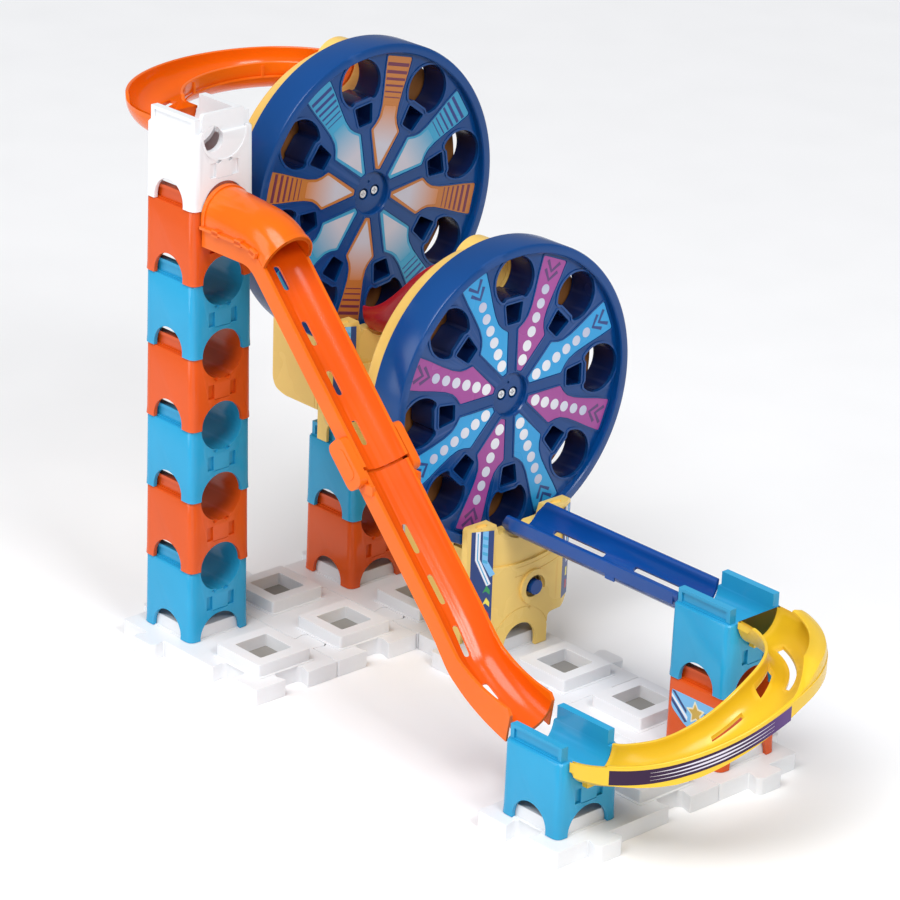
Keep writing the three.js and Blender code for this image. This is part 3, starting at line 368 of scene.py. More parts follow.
# A darker navy for the pocket sleeves and cups: painted shade inside the wheel's pockets.
POCKET_SHADE = plastic("painted_shade_pocket_navy", (0.003, 0.018, 0.1), rough=0.24)
NAVY = plastic("navy_plastic", (0.004, 0.07, 0.32), rough=0.14)
RED = plastic("red_plastic", (0.45, 0.012, 0.02), rough=0.2)
# Dark grey for the tile recess floors: painted shade standing in for the shadow down in each recess.
RECESS_SHADE = plastic("painted_shade_recess_floor", (0.27, 0.26, 0.24), rough=0.45)
STEEL = metal("zinc_plated_steel", (0.75, 0.76, 0.78))

SLOT_MATERIAL = {
    "white": WHITE,
    "sky_blue": SKY,
    "orange": ORANGE,
    "ramp_orange": RAMP,
    "yellow": YELLOW,
    "deep_yellow": DEEP,
    "wheel_blue": WHEEL,
    "navy": NAVY,
    "red": RED,
    "steel": STEEL,
}
NODE_SLOT = {part["node"]: part["material_slot"] for part in frame["record"]["subparts"]}
for node, shown in frame["nodes"].items():
    shown.data.materials.clear()
    shown.data.materials.append(SLOT_MATERIAL[NODE_SLOT[node]])


def middle(node):
    low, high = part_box(node)
    return (low + high) / 2 / MM


# ---------------------------------------------------------------- base tiles

BOSS_HALF, BOSS_TOP, RECESS_HALF = 21.4, 19.8, 12.8
BORDER_HALF = 23.2  # the low step round the foot of a boss


def square(x, half, radius=0.0):
    return rectangle(x - half, x + half, -half, half, radius)


def edge_points(kind):
    if kind == "flat":
        return []
    sign, spread = (1, 0.0) if kind == "tab" else (-1, 0.5)
    neck, head, reach = 8.5 + spread, 10.5 + spread, 11.0 + spread
    flank = [(-neck, 0.0), (-head, sign * (reach - 3)), (-head + 2.2, sign * reach)]
    return flank + [(-s, out) for s, out in reversed(flank)]


def tile(edges):
    half = CELL / 2 - GAP / 2
    sides = [
        ((0, -half), (1, 0)),
        ((CELL, -half), (1, 0)),
        ((CELL + half, 0), (0, 1)),
        ((CELL, half), (-1, 0)),
        ((0, half), (-1, 0)),
        ((-half, 0), (0, -1)),
    ]
    corners = {0: (-half, -half), 2: (CELL + half, -half), 3: (CELL + half, half), 5: (-half, half)}
    points, radii = [], []
    for i, (at, along) in enumerate(sides):
        if i in corners:
            points.append(corners[i])
            radii.append(1.6)
        outward = (along[1], -along[0])
        for s, out in edge_points(edges[i]):
            points.append((at[0] + s * along[0] + out * outward[0], at[1] + s * along[1] + out * outward[1]))
            radii.append(1.3)
    plate = painted(prism("xy", rounded(points, radii, 3), 0, PLATE), 0)
    shapes = [plate]
    for x in (0, CELL):
        boss = prism("xy", square(x, BOSS_HALF, 2.0), PLATE - 0.5, BOSS_TOP)
        inner = prism("xy", square(x, RECESS_HALF, 1.4), 0, 40)
        boss = painted(cut(boss, inner), 0)
        # Material 1, the dark grey floor and the small gate mark on it, is painted shade for the shadow
        # inside the recess.
        floor = painted(prism("xy", square(x, RECESS_HALF + 0.3), 10.6, 11.35), 1)
        mark = painted(prism("xy", circle(1.1, x + 1.5, -1.0, 16), 11.0, 11.55), 1)
        border = prism("xy", square(x, BORDER_HALF, 2.0), PLATE - 0.5, PLATE + 0.5)
        border = painted(cut(border, box((x - 20, x + 20), (-20, 20), (0, 40))), 0)
        shapes += [boss, floor, mark, border]
    return together(*shapes)


EDGES = {
    "base_tile_1": (0, 0, ("tab", "notch", "notch", "tab", "notch", "tab")),
    "base_tile_2": (0, 1, ("tab", "notch", "notch", "tab", "notch", "tab")),
    "base_tile_3": (0, 2, ("tab", "notch", "tab", "tab", "notch", "tab")),
    "base_tile_4": (2, 2, ("tab", "notch", "tab", "tab", "notch", "notch")),
    "base_tile_5": (4, 2, ("tab", "notch", "tab", "tab", "notch", "notch")),
    "base_tile_6": (5, 0, ("tab", "notch", "tab", "flat", "flat", "notch")),
}
for node, (cx, cy, edges) in EDGES.items():
    shape = tile(edges)
    if node == "base_tile_6":
        moved(shape, turn=90, about="Z")
    detail(node, shape, [WHITE, RECESS_SHADE], "white", at=(cx * CELL, cy * CELL, 0), bevel=0.55)

# ---------------------------------------------------------------- tower blocks

TOP = LEVEL - GAP
GUARD = 9.6


def block(drop=False):
    """One tower block: hollow foot with four arches, trough along X, and two framed guards."""
    loops = []
    for half, z in ((24.6, 0), (24.35, 5), (24.0, TOP - 1.0), (23.4, TOP)):
        loops.append([(x, y, z) for x, y in rectangle(-half, half, -half, half, 5.5, 5)])
    body = loft(loops)
    guards = [box((-21.4, 21.4), sorted((s * 16.0, s * 21.4)), (TOP - 2, TOP + GUARD)) for s in (-1, 1)]
    frames = [box((-18.4, 18.4), sorted((s * 20.2, s * 26)), (TOP + 1.0, TOP + GUARD - 2.2)) for s in (-1, 1)]
    lobe = [(-HOLLOW_HALF, -1), (HOLLOW_HALF, -1), (HOLLOW_HALF, TOP - WALL)]
    start = math.asin(WALL / (BORE + WALL)) + 0.06
    for i in range(25):
        a = -start - (math.pi - 2 * start) * i / 24
        lobe.append(((BORE + WALL) * math.cos(a), LEVEL + (BORE + WALL) * math.sin(a)))
    lobe.append((-HOLLOW_HALF, TOP - WALL))
    tools = [
        prism("yz", lobe, -HOLLOW_HALF, HOLLOW_HALF),
        prism("yz", arch(BORE, 0), -60, 60),
        prism("xz", arch(14.2, 1.6), -60, 60),
    ]
    if drop:
        tools.append(prism("yz", circle(BORE, 0, LEVEL, 64), -60, BLOCK_HALF - 4.2))
        tools.append(box((-60, BLOCK_HALF - 4.2), (-BORE, BORE), (LEVEL, 90)))
        tools.append(box((-4, BLOCK_HALF - 4.2), (-15.2, 15.2), (-1, LEVEL)))
        tools.append(prism("yz", circle(8.0, -9, LEVEL - 4.2, 48), 0, 60))
        ring = cut(
            prism("yz", circle(18.6, 0, LEVEL - 1, 64), BLOCK_HALF - 1.2, BLOCK_HALF + 0.5),
            prism("yz", circle(16.9, 0, LEVEL - 1, 64), 0, 60),
            box((0, 60), (-30, 30), (LEVEL + 1, 90)),
        )
        rim_top = TOP + GUARD + 3
        wall = rounded(rectangle(-16.4, 16.4, LEVEL - 22, rim_top), [6, 6, 2.5, 2.5])
        plug = prism("yz", wall, BLOCK_HALF - 4.2, BLOCK_HALF - 1.4)
        body = union(body, plug, *guards)
        body = cut(body, *frames, *tools)
        body = union(body, ring)
    else:
        tools.append(prism("yz", circle(BORE, 0, LEVEL, 64), -60, 60))
        tools.append(box((-60, 60), (-BORE, BORE), (LEVEL, 90)))
        body = cut(union(body, *guards), *frames, *tools)
    details = []
    for side in (-1, 1):
        face = sorted((side * 22.6, side * 26))
        for y in ((-11.2, -6.4), (6.4, 11.2)):
            details.append(box(face, y, (19.5, 29.0)))
        for y in (-4.6, 4.4):
            low = 31.4 if side < 0 or not drop else 28.6
            diamond = [(y - 2.6, low + 1.2), (y, low - 0.4), (y + 2.6, low + 1.2), (y, low + 2.2)]
            details.append(prism("yz", diamond, *face))
        details.append(box(sorted((side * 23.75, side * 26)), (-6.4, 6.4), (18.6, 19.1)))
    return cut(body, *details)


plain, drop = block(), block(drop=True)
for node in sorted(frame["nodes"]):
    if "_block" not in node:
        continue
    low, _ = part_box(node)
    centre = middle(node)
    source = drop if node.endswith("drop_block") else plain
    copy = bpy.data.objects.new("shape", source.data.copy())
    scene.collection.objects.link(copy)
    slot = NODE_SLOT[node]
    foot = (centre.x, centre.y, low.z / MM)
    detail(node, copy, [SLOT_MATERIAL[slot]], slot, at=foot, bevel=0.5)
bpy.data.objects.remove(plain)
bpy.data.objects.remove(drop)

# ---------------------------------------------------------------- tracks

UP = Vector((0, 0, 1))


def station(at, across, up):
    return Vector(at), Vector(across), Vector(up)


def sloped(x, z, slope, y=0.0):
    return station((x, y, z), (0, 1, 0), (math.sin(slope), 0, math.cos(slope)))


def ramp_floor_painted(shape):
    """Paints the inside of a ramp's floor, the faces near its middle that face up, in a darker, redder orange
    as painted shade.
    """
    for polygon in shape.data.polygons:
        inside = abs(polygon.center.y) < 15.7 and polygon.normal.z > 0.05
        polygon.material_index = int(inside)
    return shape


def placed(section, where):
    at, across, up = where
    return [tuple(at + across * u + up * v) for u, v in section]


def evenly(start, end, count):
    return [start + (end - start) * i / count for i in range(count + 1)]


def slot_cutter(where, length, width, below, depth=16.0):
    at, across, up = where
    along = across.cross(up)
    outline = rectangle(-length / 2, length / 2, -width / 2, width / 2, width * 0.48, 6)
    points = []
    for w in (-below - depth / 2, -below + depth / 2):
        points.append([tuple(at + along * u + across * v + up * w) for u, v in outline])
    return loft(points)


F = PLATE + GAP
SLOPE = math.radians(46)
CHUTE_START, CHUTE_Z = BLOCK_HALF + 1.2, 6 * LEVEL + F
BEND_START, CHUTE_BEND, HOOD_LEG = 63.4, 40.5, 11.0
BEND_END = BEND_START + CHUTE_BEND * math.sin(SLOPE)
JOINT_X = 180.0
LOWER_RIM_X, LOWER_RIM_Z = 196, 154  # a point on the rims of the lower ramp
RAMP_HALF, RAMP_DEPTH, RAMP_SKIRT = 15.8, 10, 11.5
RUN_OUT_END = 5 * CELL - BLOCK_HALF - 1.2


def upper_axis(x):
    if x <= BEND_START:
        return sloped(x, CHUTE_Z, 0)
    slope = math.asin((x - BEND_START) / CHUTE_BEND) if x <= BEND_END else SLOPE
    z = CHUTE_Z - CHUTE_BEND * (1 - math.cos(slope)) - max(0, x - BEND_END) * math.tan(SLOPE)
    return sloped(x, z, slope)


def upper_rim(x):
    at, across, up = upper_axis(x)
    return at - up * HOOD_LEG, across, up


def lower_rim_height(x):
    return LOWER_RIM_Z - (x - LOWER_RIM_X) * math.tan(SLOPE)


def lower_rim(x):
    return sloped(x, lower_rim_height(x) + F, SLOPE)


def ramp_section(depth, skirt, groove=True):
    """A round floor with a shallow groove, rounded rims, and two side walls that hang below it."""
    half = RAMP_HALF
    radius = (half**2 + depth**2) / (2 * depth) if depth < half else half
    centre = radius - depth

    def arc(size, width, sign, steps):
        swing = sign * math.asin(min(1, width / size))
        angles = evenly(swing, -swing, steps)
        return [(size * math.sin(a), centre - size * math.cos(a)) for a in angles]

    inner = arc(radius, half - 0.1, 1, 28)
    if groove:
        inner = [(u, v - 0.9 * max(0.0, min(1.0, (3.6 - abs(u)) / 0.7))) for u, v in inner]
    inside = TRACK_HALF - 1.5
    return (
        [(TRACK_HALF, -0.5), (TRACK_HALF - 0.35, -0.1), (TRACK_HALF - 1.2, 0.0), (half + 0.3, -0.1)]
        + inner
        + [(-half - 0.3, -0.1), (-TRACK_HALF + 1.2, 0.0), (-TRACK_HALF + 0.35, -0.1), (-TRACK_HALF, -0.5)]
        + [(-TRACK_HALF, -skirt), (-inside, -skirt)]
        + arc(radius + WALL, inside, -1, 20)
        + [(inside, -skirt), (TRACK_HALF, -skirt)]
    )


xs = [CHUTE_START, 44] + evenly(BEND_START, BEND_END, 12)
joint_axis = JOINT_X + HOOD_LEG * math.sin(SLOPE)
steps = [upper_rim(x) for x in xs + evenly(BEND_END, joint_axis, 6)[1:]]
ramp = loft([placed(ramp_section(RAMP_DEPTH, RAMP_SKIRT), s) for s in steps])
ramp = cut(ramp, *[slot_cutter(upper_rim(x), 17, 4.6, RAMP_DEPTH) for x in (96, 123, 147, 171)])
detail("ramp_upper", ramp_floor_painted(ramp), [RAMP, RAMP_INSIDE_SHADE], "ramp_orange", bevel=0.3)

# The hood: half a pipe that comes down towards its leaning mouth, with a collar at the tower and
# a flange with knobs along its foot.
RISE_AT_TOWER, RISE_AT_MOUTH, FLANGE_END = 6.6, 0.8, 82
MOUTH_LEAN = math.tan(math.radians(20))


def hood_loop(x, grow=0.0):
    share = (x - CHUTE_START) / (BEND_END - CHUTE_START)
    rise = RISE_AT_TOWER + (RISE_AT_MOUTH - RISE_AT_TOWER) * share
    lean = MOUTH_LEAN * max(0.0, (share - 0.6) / 0.4)
    inner, outer = FLOOR_R, TRACK_HALF + grow

    def half_pipe(r, start, end):
        return [(r * math.cos(a), rise + r * math.sin(a)) for a in evenly(start * math.pi, end * math.pi, 28)]

    section = [(inner, GAP)] + half_pipe(inner, 0, 1) + [(-inner, GAP), (-outer, GAP)]
    section += half_pipe(outer, 1, 0) + [(outer, GAP)]
    at, across, up = upper_rim(x)
    leaning = up - across.cross(up) * lean
    return [tuple(at + across * u + leaning * v) for u, v in section]


hood = loft([hood_loop(x) for x in xs])
lip = loft([hood_loop(x, 0.6) for x in evenly(BEND_END - 1.6, BEND_END, 2)])
collar = loft([hood_loop(x, 0.9) for x in (CHUTE_START, CHUTE_START + 3)])
flanges = []
for sign in (-1, 1):
    near, far = sign * TRACK_HALF, sign * (TRACK_HALF + 2.3)
    rail = rectangle(near, far, GAP, GAP + 1.8)
    flanges.append(loft([placed(rail, upper_rim(x)) for x in xs[:2] + evenly(BEND_START, FLANGE_END, 8)]))
    for x in (40, 62, 80):
        at, _, up = upper_rim(x)
        knob = box((-3, 3), sorted((near, far)), (GAP - 1.2, GAP + 3))
        flanges.append(moved(knob, at.x, 0, at.z, math.degrees(math.atan2(up.x, up.z)), "Y"))
detail("chute_hood", together(hood, lip, collar, *flanges), [RAMP], "ramp_orange", bevel=0.3)

# The lower ramp, its run-out and its two ears.
# Its levelling end: x, height of the rims and slope in degrees.
LEVELLING = [
    (266, 80.6, 40), (275, 74.6, 31), (284, 70.3, 22), (293, 67.2, 15), (302, 65, 11), (RUN_OUT_END, 63, 9),
]


def smoothed(points, per=5):
    """More points along a smooth curve through these."""
    out = []
    for i in range(len(points) - 1):
        p0, p1, p2, p3 = (Vector(points[max(0, min(len(points) - 1, k))]) for k in (i - 1, i, i + 1, i + 2))
        for k in range(per):
            t = k / per
            squared = (2 * p0 - 5 * p1 + 4 * p2 - p3) * t * t
            cubed = (3 * p1 - p0 - 3 * p2 + p3) * t**3
            out.append(0.5 * ((2 * p1) + (p2 - p0) * t + squared + cubed))
    return out + [Vector(points[-1])]


ease = [(248, lower_rim_height(248), 46)] + LEVELLING
path = [(x, lower_rim_height(x), 46) for x in (JOINT_X + 0.1, 215, 236)]
loops = []
for x, z, a in path + [tuple(v) for v in smoothed(ease, 4)]:
    share = max(0.0, min(1.0, (x - 255) / (RUN_OUT_END - 255)))
    section = ramp_section(RAMP_DEPTH + 9 * share, RAMP_SKIRT + 10 * share, x < 300)
    loops.append(placed(section, sloped(x, z + F, math.radians(a))))
lower = loft(loops)
tools = [slot_cutter(lower_rim(x), 20, 4.8, RAMP_DEPTH) for x in (212, 236, 260)]
tools.append(slot_cutter(sloped(284, 70.3 + F, math.radians(22)), 13, 4.8, 14.5))
for sign in (-1, 1):
    tip = [(RUN_OUT_END + 1, 63 + F + 1), (RUN_OUT_END + 1, 63 + F - 6), (RUN_OUT_END - 4.2, 63 + F + 2)]
    tools.append(prism("xz", tip, *sorted((sign * 14, sign * 20))))
lower = cut(lower, *tools)
lap_radius = (RAMP_HALF**2 + RAMP_DEPTH**2) / (2 * RAMP_DEPTH) + WALL
lap_arcs = []
for size, sign in ((lap_radius + 0.1, 1), (lap_radius + 1.3, -1)):
    swing = math.asin(16.4 / size)
    for a in evenly(sign * swing, -sign * swing, 16):
        lap_arcs.append((size * math.sin(a), lap_radius - WALL - RAMP_DEPTH - size * math.cos(a)))
lap = loft([placed(lap_arcs, lower_rim(x)) for x in (JOINT_X - 3, JOINT_X + 4)])
EAR_AT, ear_across, EAR_UP = lower_rim(JOINT_X - 17)
EAR_ALONG = ear_across.cross(EAR_UP)
EAR_LENGTH = 32


def ear_plate(outline, near, far):
    """A plate beside the ramp joint, between two distances from the ramp's middle."""
    points = [EAR_AT + EAR_ALONG * u + EAR_UP * v for u, v in outline]
    return loft([[tuple(point + Vector((0, y, 0))) for point in points] for y in (near, far)])


ears = []
for sign in (-1, 1):
    for reach, drop_to, width, top_edge in ((EAR_LENGTH, -13.5, 5.6, 1.5), (20, -11, 6.0, -1.5)):
        inset = (EAR_LENGTH - reach) / 2
        plate = rectangle(inset, EAR_LENGTH - inset, drop_to, top_edge, 5.5, 6)
        near = sign * (TRACK_HALF + GAP)
        ears.append(ear_plate(plate, near, sign * (TRACK_HALF + GAP + width)))
    base = lower_rim(JOINT_X + 4)[0]
    reach = sorted((sign * (TRACK_HALF - 1), sign * (TRACK_HALF + 1.4)))
    ears.append(box((base.x - 1, base.x + 6), reach, (base.z - 9, base.z - 3)))
    for k in (10, 20):
        y = sign * (TRACK_HALF + 6.1)
        ears.append(ear_plate(rectangle(k, k + 1.2, -6, -13), y - sign * 0.6, y))
lower = together(ramp_floor_painted(lower), lap, *ears)
detail("ramp_lower", lower, [RAMP, RAMP_INSIDE_SHADE], "ramp_orange", bevel=0.35)


def channel(rim, outer_rim=None, inner=FLOOR_R, steps=24):
    """A round-bottomed channel about its axis, with rounded rims. Positive across is the outer side."""
    outer_rim = rim if outer_rim is None else outer_rim
    outer = inner + WALL

    def arc(r, sign):
        quarter = sign * math.pi / 2
        return [(r * math.sin(a), -r * math.cos(a)) for a in evenly(quarter, -quarter, steps)]

    return (
        [(outer, outer_rim - 0.5), (outer - 0.4, outer_rim)]
        + [(inner + 0.4, outer_rim), (inner, outer_rim - 0.5)]
        + arc(inner, 1)
        + [(-inner, rim - 0.5), (-inner - 0.4, rim), (-outer + 0.4, rim), (-outer, rim - 0.5)]
        + arc(outer, -1)
    )


def bend_steps(start_x, bulge, height, count):
    out = []
    for share in evenly(0, 1, count):
        a = (share - 0.5) * math.pi
        spot = Vector((start_x + bulge * math.cos(a), CELL + CELL * math.sin(a), height(share)))
        outward = Vector((math.copysign(CELL, bulge) * math.cos(a), abs(bulge) * math.sin(a), 0)).normalized()
        out.append((spot, outward, UP))
    return out


CLIMB = [(0, 0.01), (0.1, 0.14), (0.2, 0.27), (0.3, 0.47), (0.5, 0.91), (0.6, 1.02), (0.7, 1.05), (1, 1.05)]


def climbed(share):
    for (a, low), (b, high) in zip(CLIMB, CLIMB[1:]):
        if share <= b:
            t = (share - a) / (b - a)
            return low + (high - low) * t
    return CLIMB[-1][1]


def soft_climb(share):
    width = 0.05
    return sum(climbed(max(0, min(1, share + width * k / 3))) for k in range(-3, 4)) / 7


def yellow_height(share):
    return F + LEVEL * (1 + soft_climb(share))


steps = bend_steps(5 * CELL + BLOCK_HALF + 1.2, CELL, yellow_height, 72)


def between(share, low, high, soft=0.02):
    """1 inside a range of shares and 0 outside, with soft ends."""
    rise = max(0.0, min(1.0, (share - low) / soft))
    fall = max(0.0, min(1.0, (high - share) / soft))
    return min(rise, fall)


# The guard's section, from the outside of the wall up and over, and back to the inside.
CURL = [
    (18.1, 3.6), (17.2, 6.4), (13.8, 8.6), (8.8, 9.6), (7.4, 9.2),
    (7.2, 8.3), (8.2, 7.8), (12.8, 6.8), (15.2, 5.0), (16, 2.6),
]


def bend_section(inner_rim, outer_rim, guard):
    """The yellow bend's section. Its guard, as far as it has one, curls in over the channel."""
    rim = []
    for i, (u, v) in enumerate(CURL):
        t = i / (len(CURL) - 1)
        flat_u, flat_v = TRACK_HALF - WALL * t, outer_rim - 0.5 * (2 * t - 1) ** 4
        rim.append((flat_u + (u - flat_u) * guard, flat_v + (v - flat_v) * guard))
    return rim + channel(inner_rim, outer_rim)[4:]


loops = []
for i, where in enumerate(steps):
    share = i / 72
    outer = 1.0 - 7.0 * (1 - between(share, 0.075, 2)) - 6.0 * (1 - between(share, -1, 0.955))
    inner = 1.0 - 5.0 * (1 - between(share, -1, 0.94))
    guard = min(max(0.0, (share - 0.53) / 0.11), between(share, 0.53, 0.915, 0.012))
    loops.append(placed(bend_section(inner, outer, guard), where))
yellow = loft(loops)


def arc_cutter(steps, start, end, inner, outer, v0, v1):
    """Cuts a slot along a bend. Its inner and outer edges are given at both ends."""
    loops = []
    for i in range(start, end + 1):
        t = (i - start) / (end - start)
        u0, u1 = inner[0] + (inner[1] - inner[0]) * t, outer[0] + (outer[1] - outer[0]) * t
        loops.append(placed(rectangle(u0, u1, v0, v1), steps[i]))
    return loft(loops)


yellow = cut(
    yellow,
    arc_cutter(steps, 26, 34, (-11.5, -11.5), (-9, -8.6), -24, -9),
    arc_cutter(steps, 40, 50, (-15.2, -15.2), (-10, -12.6), -24, -3),
    arc_cutter(steps, 47, 66, (-3, -1.5), (-0.5, 5), -24, -6),
)
outer_skin = []
for i in range(1, 68):
    bottom = -8.5 - 6.0 * between(i / 72, 0.0, 0.55, 0.25)
    outer_skin.append(placed(rectangle(TRACK_HALF - 1.4, TRACK_HALF + 0.5, 0.2, bottom), steps[i]))
skin = loft(outer_skin)
lugs = []
for end in (0, 72):
    spot = steps[end][0]
    lugs.append(box((spot.x, spot.x + 4), (spot.y - 7, spot.y + 7), (spot.z - 19.2, spot.z - 16)))
detail("yellow_bend", together(yellow, skin, *lugs), [DEEP], "deep_yellow", bevel=0.3)

# The top bend, from the upper wheel's outlet round to the drop block.
OUTLET_END, HUB, POCKET_CIRCLE, POCKET_R = -30.6, 171.4, 76.5, 16.4
high, low = 2 * LEVEL + HUB + POCKET_CIRCLE + F, 7 * LEVEL + 0.5 + F


def smooth(t):
    return t * t * (3 - 2 * t)


steps = bend_steps(OUTLET_END - 1, -51, lambda t: low + (high - low) * smooth(t), 64)
lead = [(Vector((x, steps[0][0].y, steps[0][0].z)), steps[0][1], UP) for x in (-BLOCK_HALF - 1.2, -28.5)]
loops = []
for i, where in enumerate(lead + steps):
    share = (i - 2) / 64
    drop_in = 1 - between(share, 0.1, 2, 0.05)
    loops.append(placed(channel(3 - 6 * (1 - between(share, 0.06, 2, 0.05)), 3 - 5.5 * drop_in), where))
slots = [arc_cutter(steps, start, start + 8, (-3, -3), (3, 3), -24, -8) for start in (16, 40)]
top = cut(loft(loops), *slots)
bead_section = rectangle(-TRACK_HALF - 0.7, -TRACK_HALF + 0.5, -6, -7.2)
bead = loft([placed(bead_section, s) for s in steps[4:60]])
post = []
for i in (22, 44):
    spot, outward, _ = steps[i]
    side = spot - outward * (TRACK_HALF + 0.2)
    post.append(box((side.x - 0.8, side.x + 0.8), (side.y - 0.8, side.y + 0.8), (side.z - 6, side.z + 1)))
detail("top_bend", together(top, bead, *post), [RAMP], "ramp_orange", bevel=0.3)

# The blue track, with a diagonal cut at its wheel end.
TRACK_Z = 2.07 * BLOCK + F
start_x, end_x = 2 * CELL + 22.3, 5 * CELL - BLOCK_HALF - 1
places = [sloped(x, TRACK_Z, 0, 2 * CELL) for x in (start_x, start_x + 40, end_x - 30, end_x)]
blue = loft([placed(channel(0.6), where) for where in places])
SLOT_TILT = math.radians(36)
slots = []
for x, length in ((start_x + 44, 46), (end_x - 35, 58)):
    across = (0, math.cos(SLOT_TILT), math.sin(SLOT_TILT))
    where = station((x, 2 * CELL, TRACK_Z), across, (0, -math.sin(SLOT_TILT), math.cos(SLOT_TILT)))
    slots.append(slot_cutter(where, length, 3.5, FLOOR_R))
corner = [(start_x - 1, TRACK_Z + 2), (start_x + 7, TRACK_Z + 2), (start_x - 1, TRACK_Z - 9)]
wedge = prism("xz", corner, 2 * CELL - 30, 2 * CELL + 30)
blue = cut(blue, wedge, *slots)
rail = []
for sign in (-1, 1):
    y = 2 * CELL + sign * TRACK_HALF
    rail.append(box((start_x + 8, end_x - 4), sorted((y - sign * 0.8, y)), (TRACK_Z - 8.0, TRACK_Z - 0.2)))
    rail.append(box((end_x - 62, end_x - 54), sorted((y - sign, y)), (TRACK_Z - 11, TRACK_Z - 8)))
detail("blue_track", together(blue, *rail), [NAVY], "navy", bevel=0.3)

# The red chute between the two wheels.
hx, hz = 2 * CELL + OUTLET_END - 1, HUB + POCKET_CIRCLE + F
lx, lz = 22.3, 2 * LEVEL + 2.07 * BLOCK + F
loops = []
for t in evenly(0, 1, 40):
    slope = -math.atan2(6 * t * (1 - t) * (hz - lz), hx - lx)
    at = (hx + (lx - hx) * t, 2 * CELL, hz + (lz - hz) * smooth(t))
    loops.append(placed(channel(3), station(at, (0, -1, 0), (math.sin(slope), 0, math.cos(slope)))))
detail("red_chute", loft(loops), [RED], "red", bevel=0.3)


def decal(origin, across, up, layers):
    """Flat prints on a face. A layer is an outline, its material number and how far it stands proud."""
    origin, across, up = Vector(origin), Vector(across).normalized(), Vector(up).normalized()
    out = across.cross(up)
    shapes = []
    for outline, index, proud in layers:
        loops = [[tuple(origin + across * s + up * z + out * w) for s, z in outline] for w in (-0.3, proud)]
        shapes.append(painted(loft(loops), index))
    return together(*shapes)


def band(points, width):
    """A stripe of even width along a path of 2-D points."""
    left, right = [], []
    for i, p in enumerate(points):
        a, b = Vector(points[max(0, i - 1)]), Vector(points[min(len(points) - 1, i + 1)])
        along = (b - a).normalized()
        side = Vector((-along.y, along.x)) * width / 2
        left.append(tuple(Vector(p) + side))
        right.append(tuple(Vector(p) - side))
    return left + right[::-1]


# ---------------------------------------------------------------- stickers on the blocks and the bend

INK = {
    "navy": print_ink("navy_ink", (0.012, 0.045, 0.19)),
    "white": print_ink("white_ink", (0.8, 0.82, 0.9)),
    "pale_blue": print_ink("pale_blue_ink", (0.19, 0.5, 0.83)),
    "cyan": print_ink("cyan_ink", (0.06, 0.4, 0.68)),
    "gold": print_ink("gold_ink", (0.62, 0.4, 0.07)),
    "cream": print_ink("cream_ink", (0.85, 0.78, 0.55)),
    "green": print_ink("green_ink", (0.03, 0.3, 0.09)),
    "lemon": print_ink("lemon_ink", (0.85, 0.72, 0.1)),
    "red": print_ink("red_ink", (0.5, 0.02, 0.03)),
}
INKS = list(INK.values())
COLOUR = {name: i for i, name in enumerate(INK)}


def star(cx, cz, outer, inner, turn=0.0):
    points = []
    for i in range(10):
        a = math.pi / 2 + i * math.pi / 5 + turn
        r = inner if i % 2 else outer
        points.append((cx + r * math.cos(a), cz + r * math.sin(a)))
    return rounded(points, [0.9, 0.3] * 5, 3)


panel = rounded([(-19, 40.5), (-19, 29), (-6, 20), (6, 20), (19, 29), (19, 40.5)], [0.5, 3, 4, 4, 3, 0.5])
star_layers = [
    (panel, COLOUR["pale_blue"], 0.12),
    ([(-19, 40.2), (-16.5, 40.2), (-6, 31), (-6, 28.6)], COLOUR["navy"], 0.17),
    ([(-19, 38), (-19, 36.2), (-5, 24.2), (-5, 27)], COLOUR["white"], 0.17),
    ([(-19, 35.6), (-19, 32.8), (-7, 22.6), (-5, 23.6)], COLOUR["navy"], 0.17),
    ([(8, 33.5), (13, 35.8), (19, 35.8), (19, 32.6), (12, 32)], COLOUR["navy"], 0.17),
    (star(1.6, 31.6, 8.2, 4.1, 0.15), COLOUR["cream"], 0.22),
    (star(1.6, 31.6, 6.2, 2.9, 0.15), COLOUR["gold"], 0.28),
]
spot = middle("tower_d_block_1")
shape = decal((spot.x, spot.y - 24.5, F), (1, 0, 0), (0, 0.0083, 1), star_layers)
finish("tower_d_star_sticker", shape, INKS, bevel=0)

purple = print_ink("purple_ink", (0.025, 0.003, 0.035), (0.1, 0.04, 0.19), (0.451, 0.075, 0.1), (0.04, 0.01))
streak = print_ink("streak_ink", (0.8, 0.66, 0.35), (0.7, 0.66, 0.74), (0.43, 0.03, 0.09), (0.07, 0.03))
bend = bend_steps(5 * CELL + BLOCK_HALF + 1.2, CELL, yellow_height, 144)


def on_bend(start, end, low, high, proud, taper=False):
    """A strip on the outer wall of the yellow bend, between two shares of its length."""
    chosen = [i for i in range(145) if start <= i / 144 <= end]
    loops = []
    for i in chosen:
        pinch = 1.0
        if taper:
            pinch = max(0.08, min(1.0, (i / 144 - start) / 0.12, (end - i / 144) / 0.12))
        mid, half = (low + high) / 2, (high - low) / 2 * pinch
        near, far = TRACK_HALF + 0.1, TRACK_HALF + 0.5 + proud
        loops.append(placed(rectangle(near, far, mid + half, mid - half), bend[i]))
    return loft(loops)


shapes = [painted(on_bend(0.1, 0.52, -10.6, -1.5, 0.12), 0)]
for low, width in ((-8.9, 0.9), (-6.8, 1.3), (-4.4, 1.3)):
    shapes.append(painted(on_bend(0.19, 0.47, low, low + width, 0.2, True), 1))
finish("yellow_bend_sticker", together(*shapes), [purple, streak], bevel=0, sharp=30)

# ---------------------------------------------------------------- lifting wheels

WHEEL_FRONT, WHEEL_BACK, WHEEL_FACE, HUB_FACE = 13.4, -12.0, 8.6, 5.3
CUP_NEAR, CUP_FAR = 48.0, 61.5


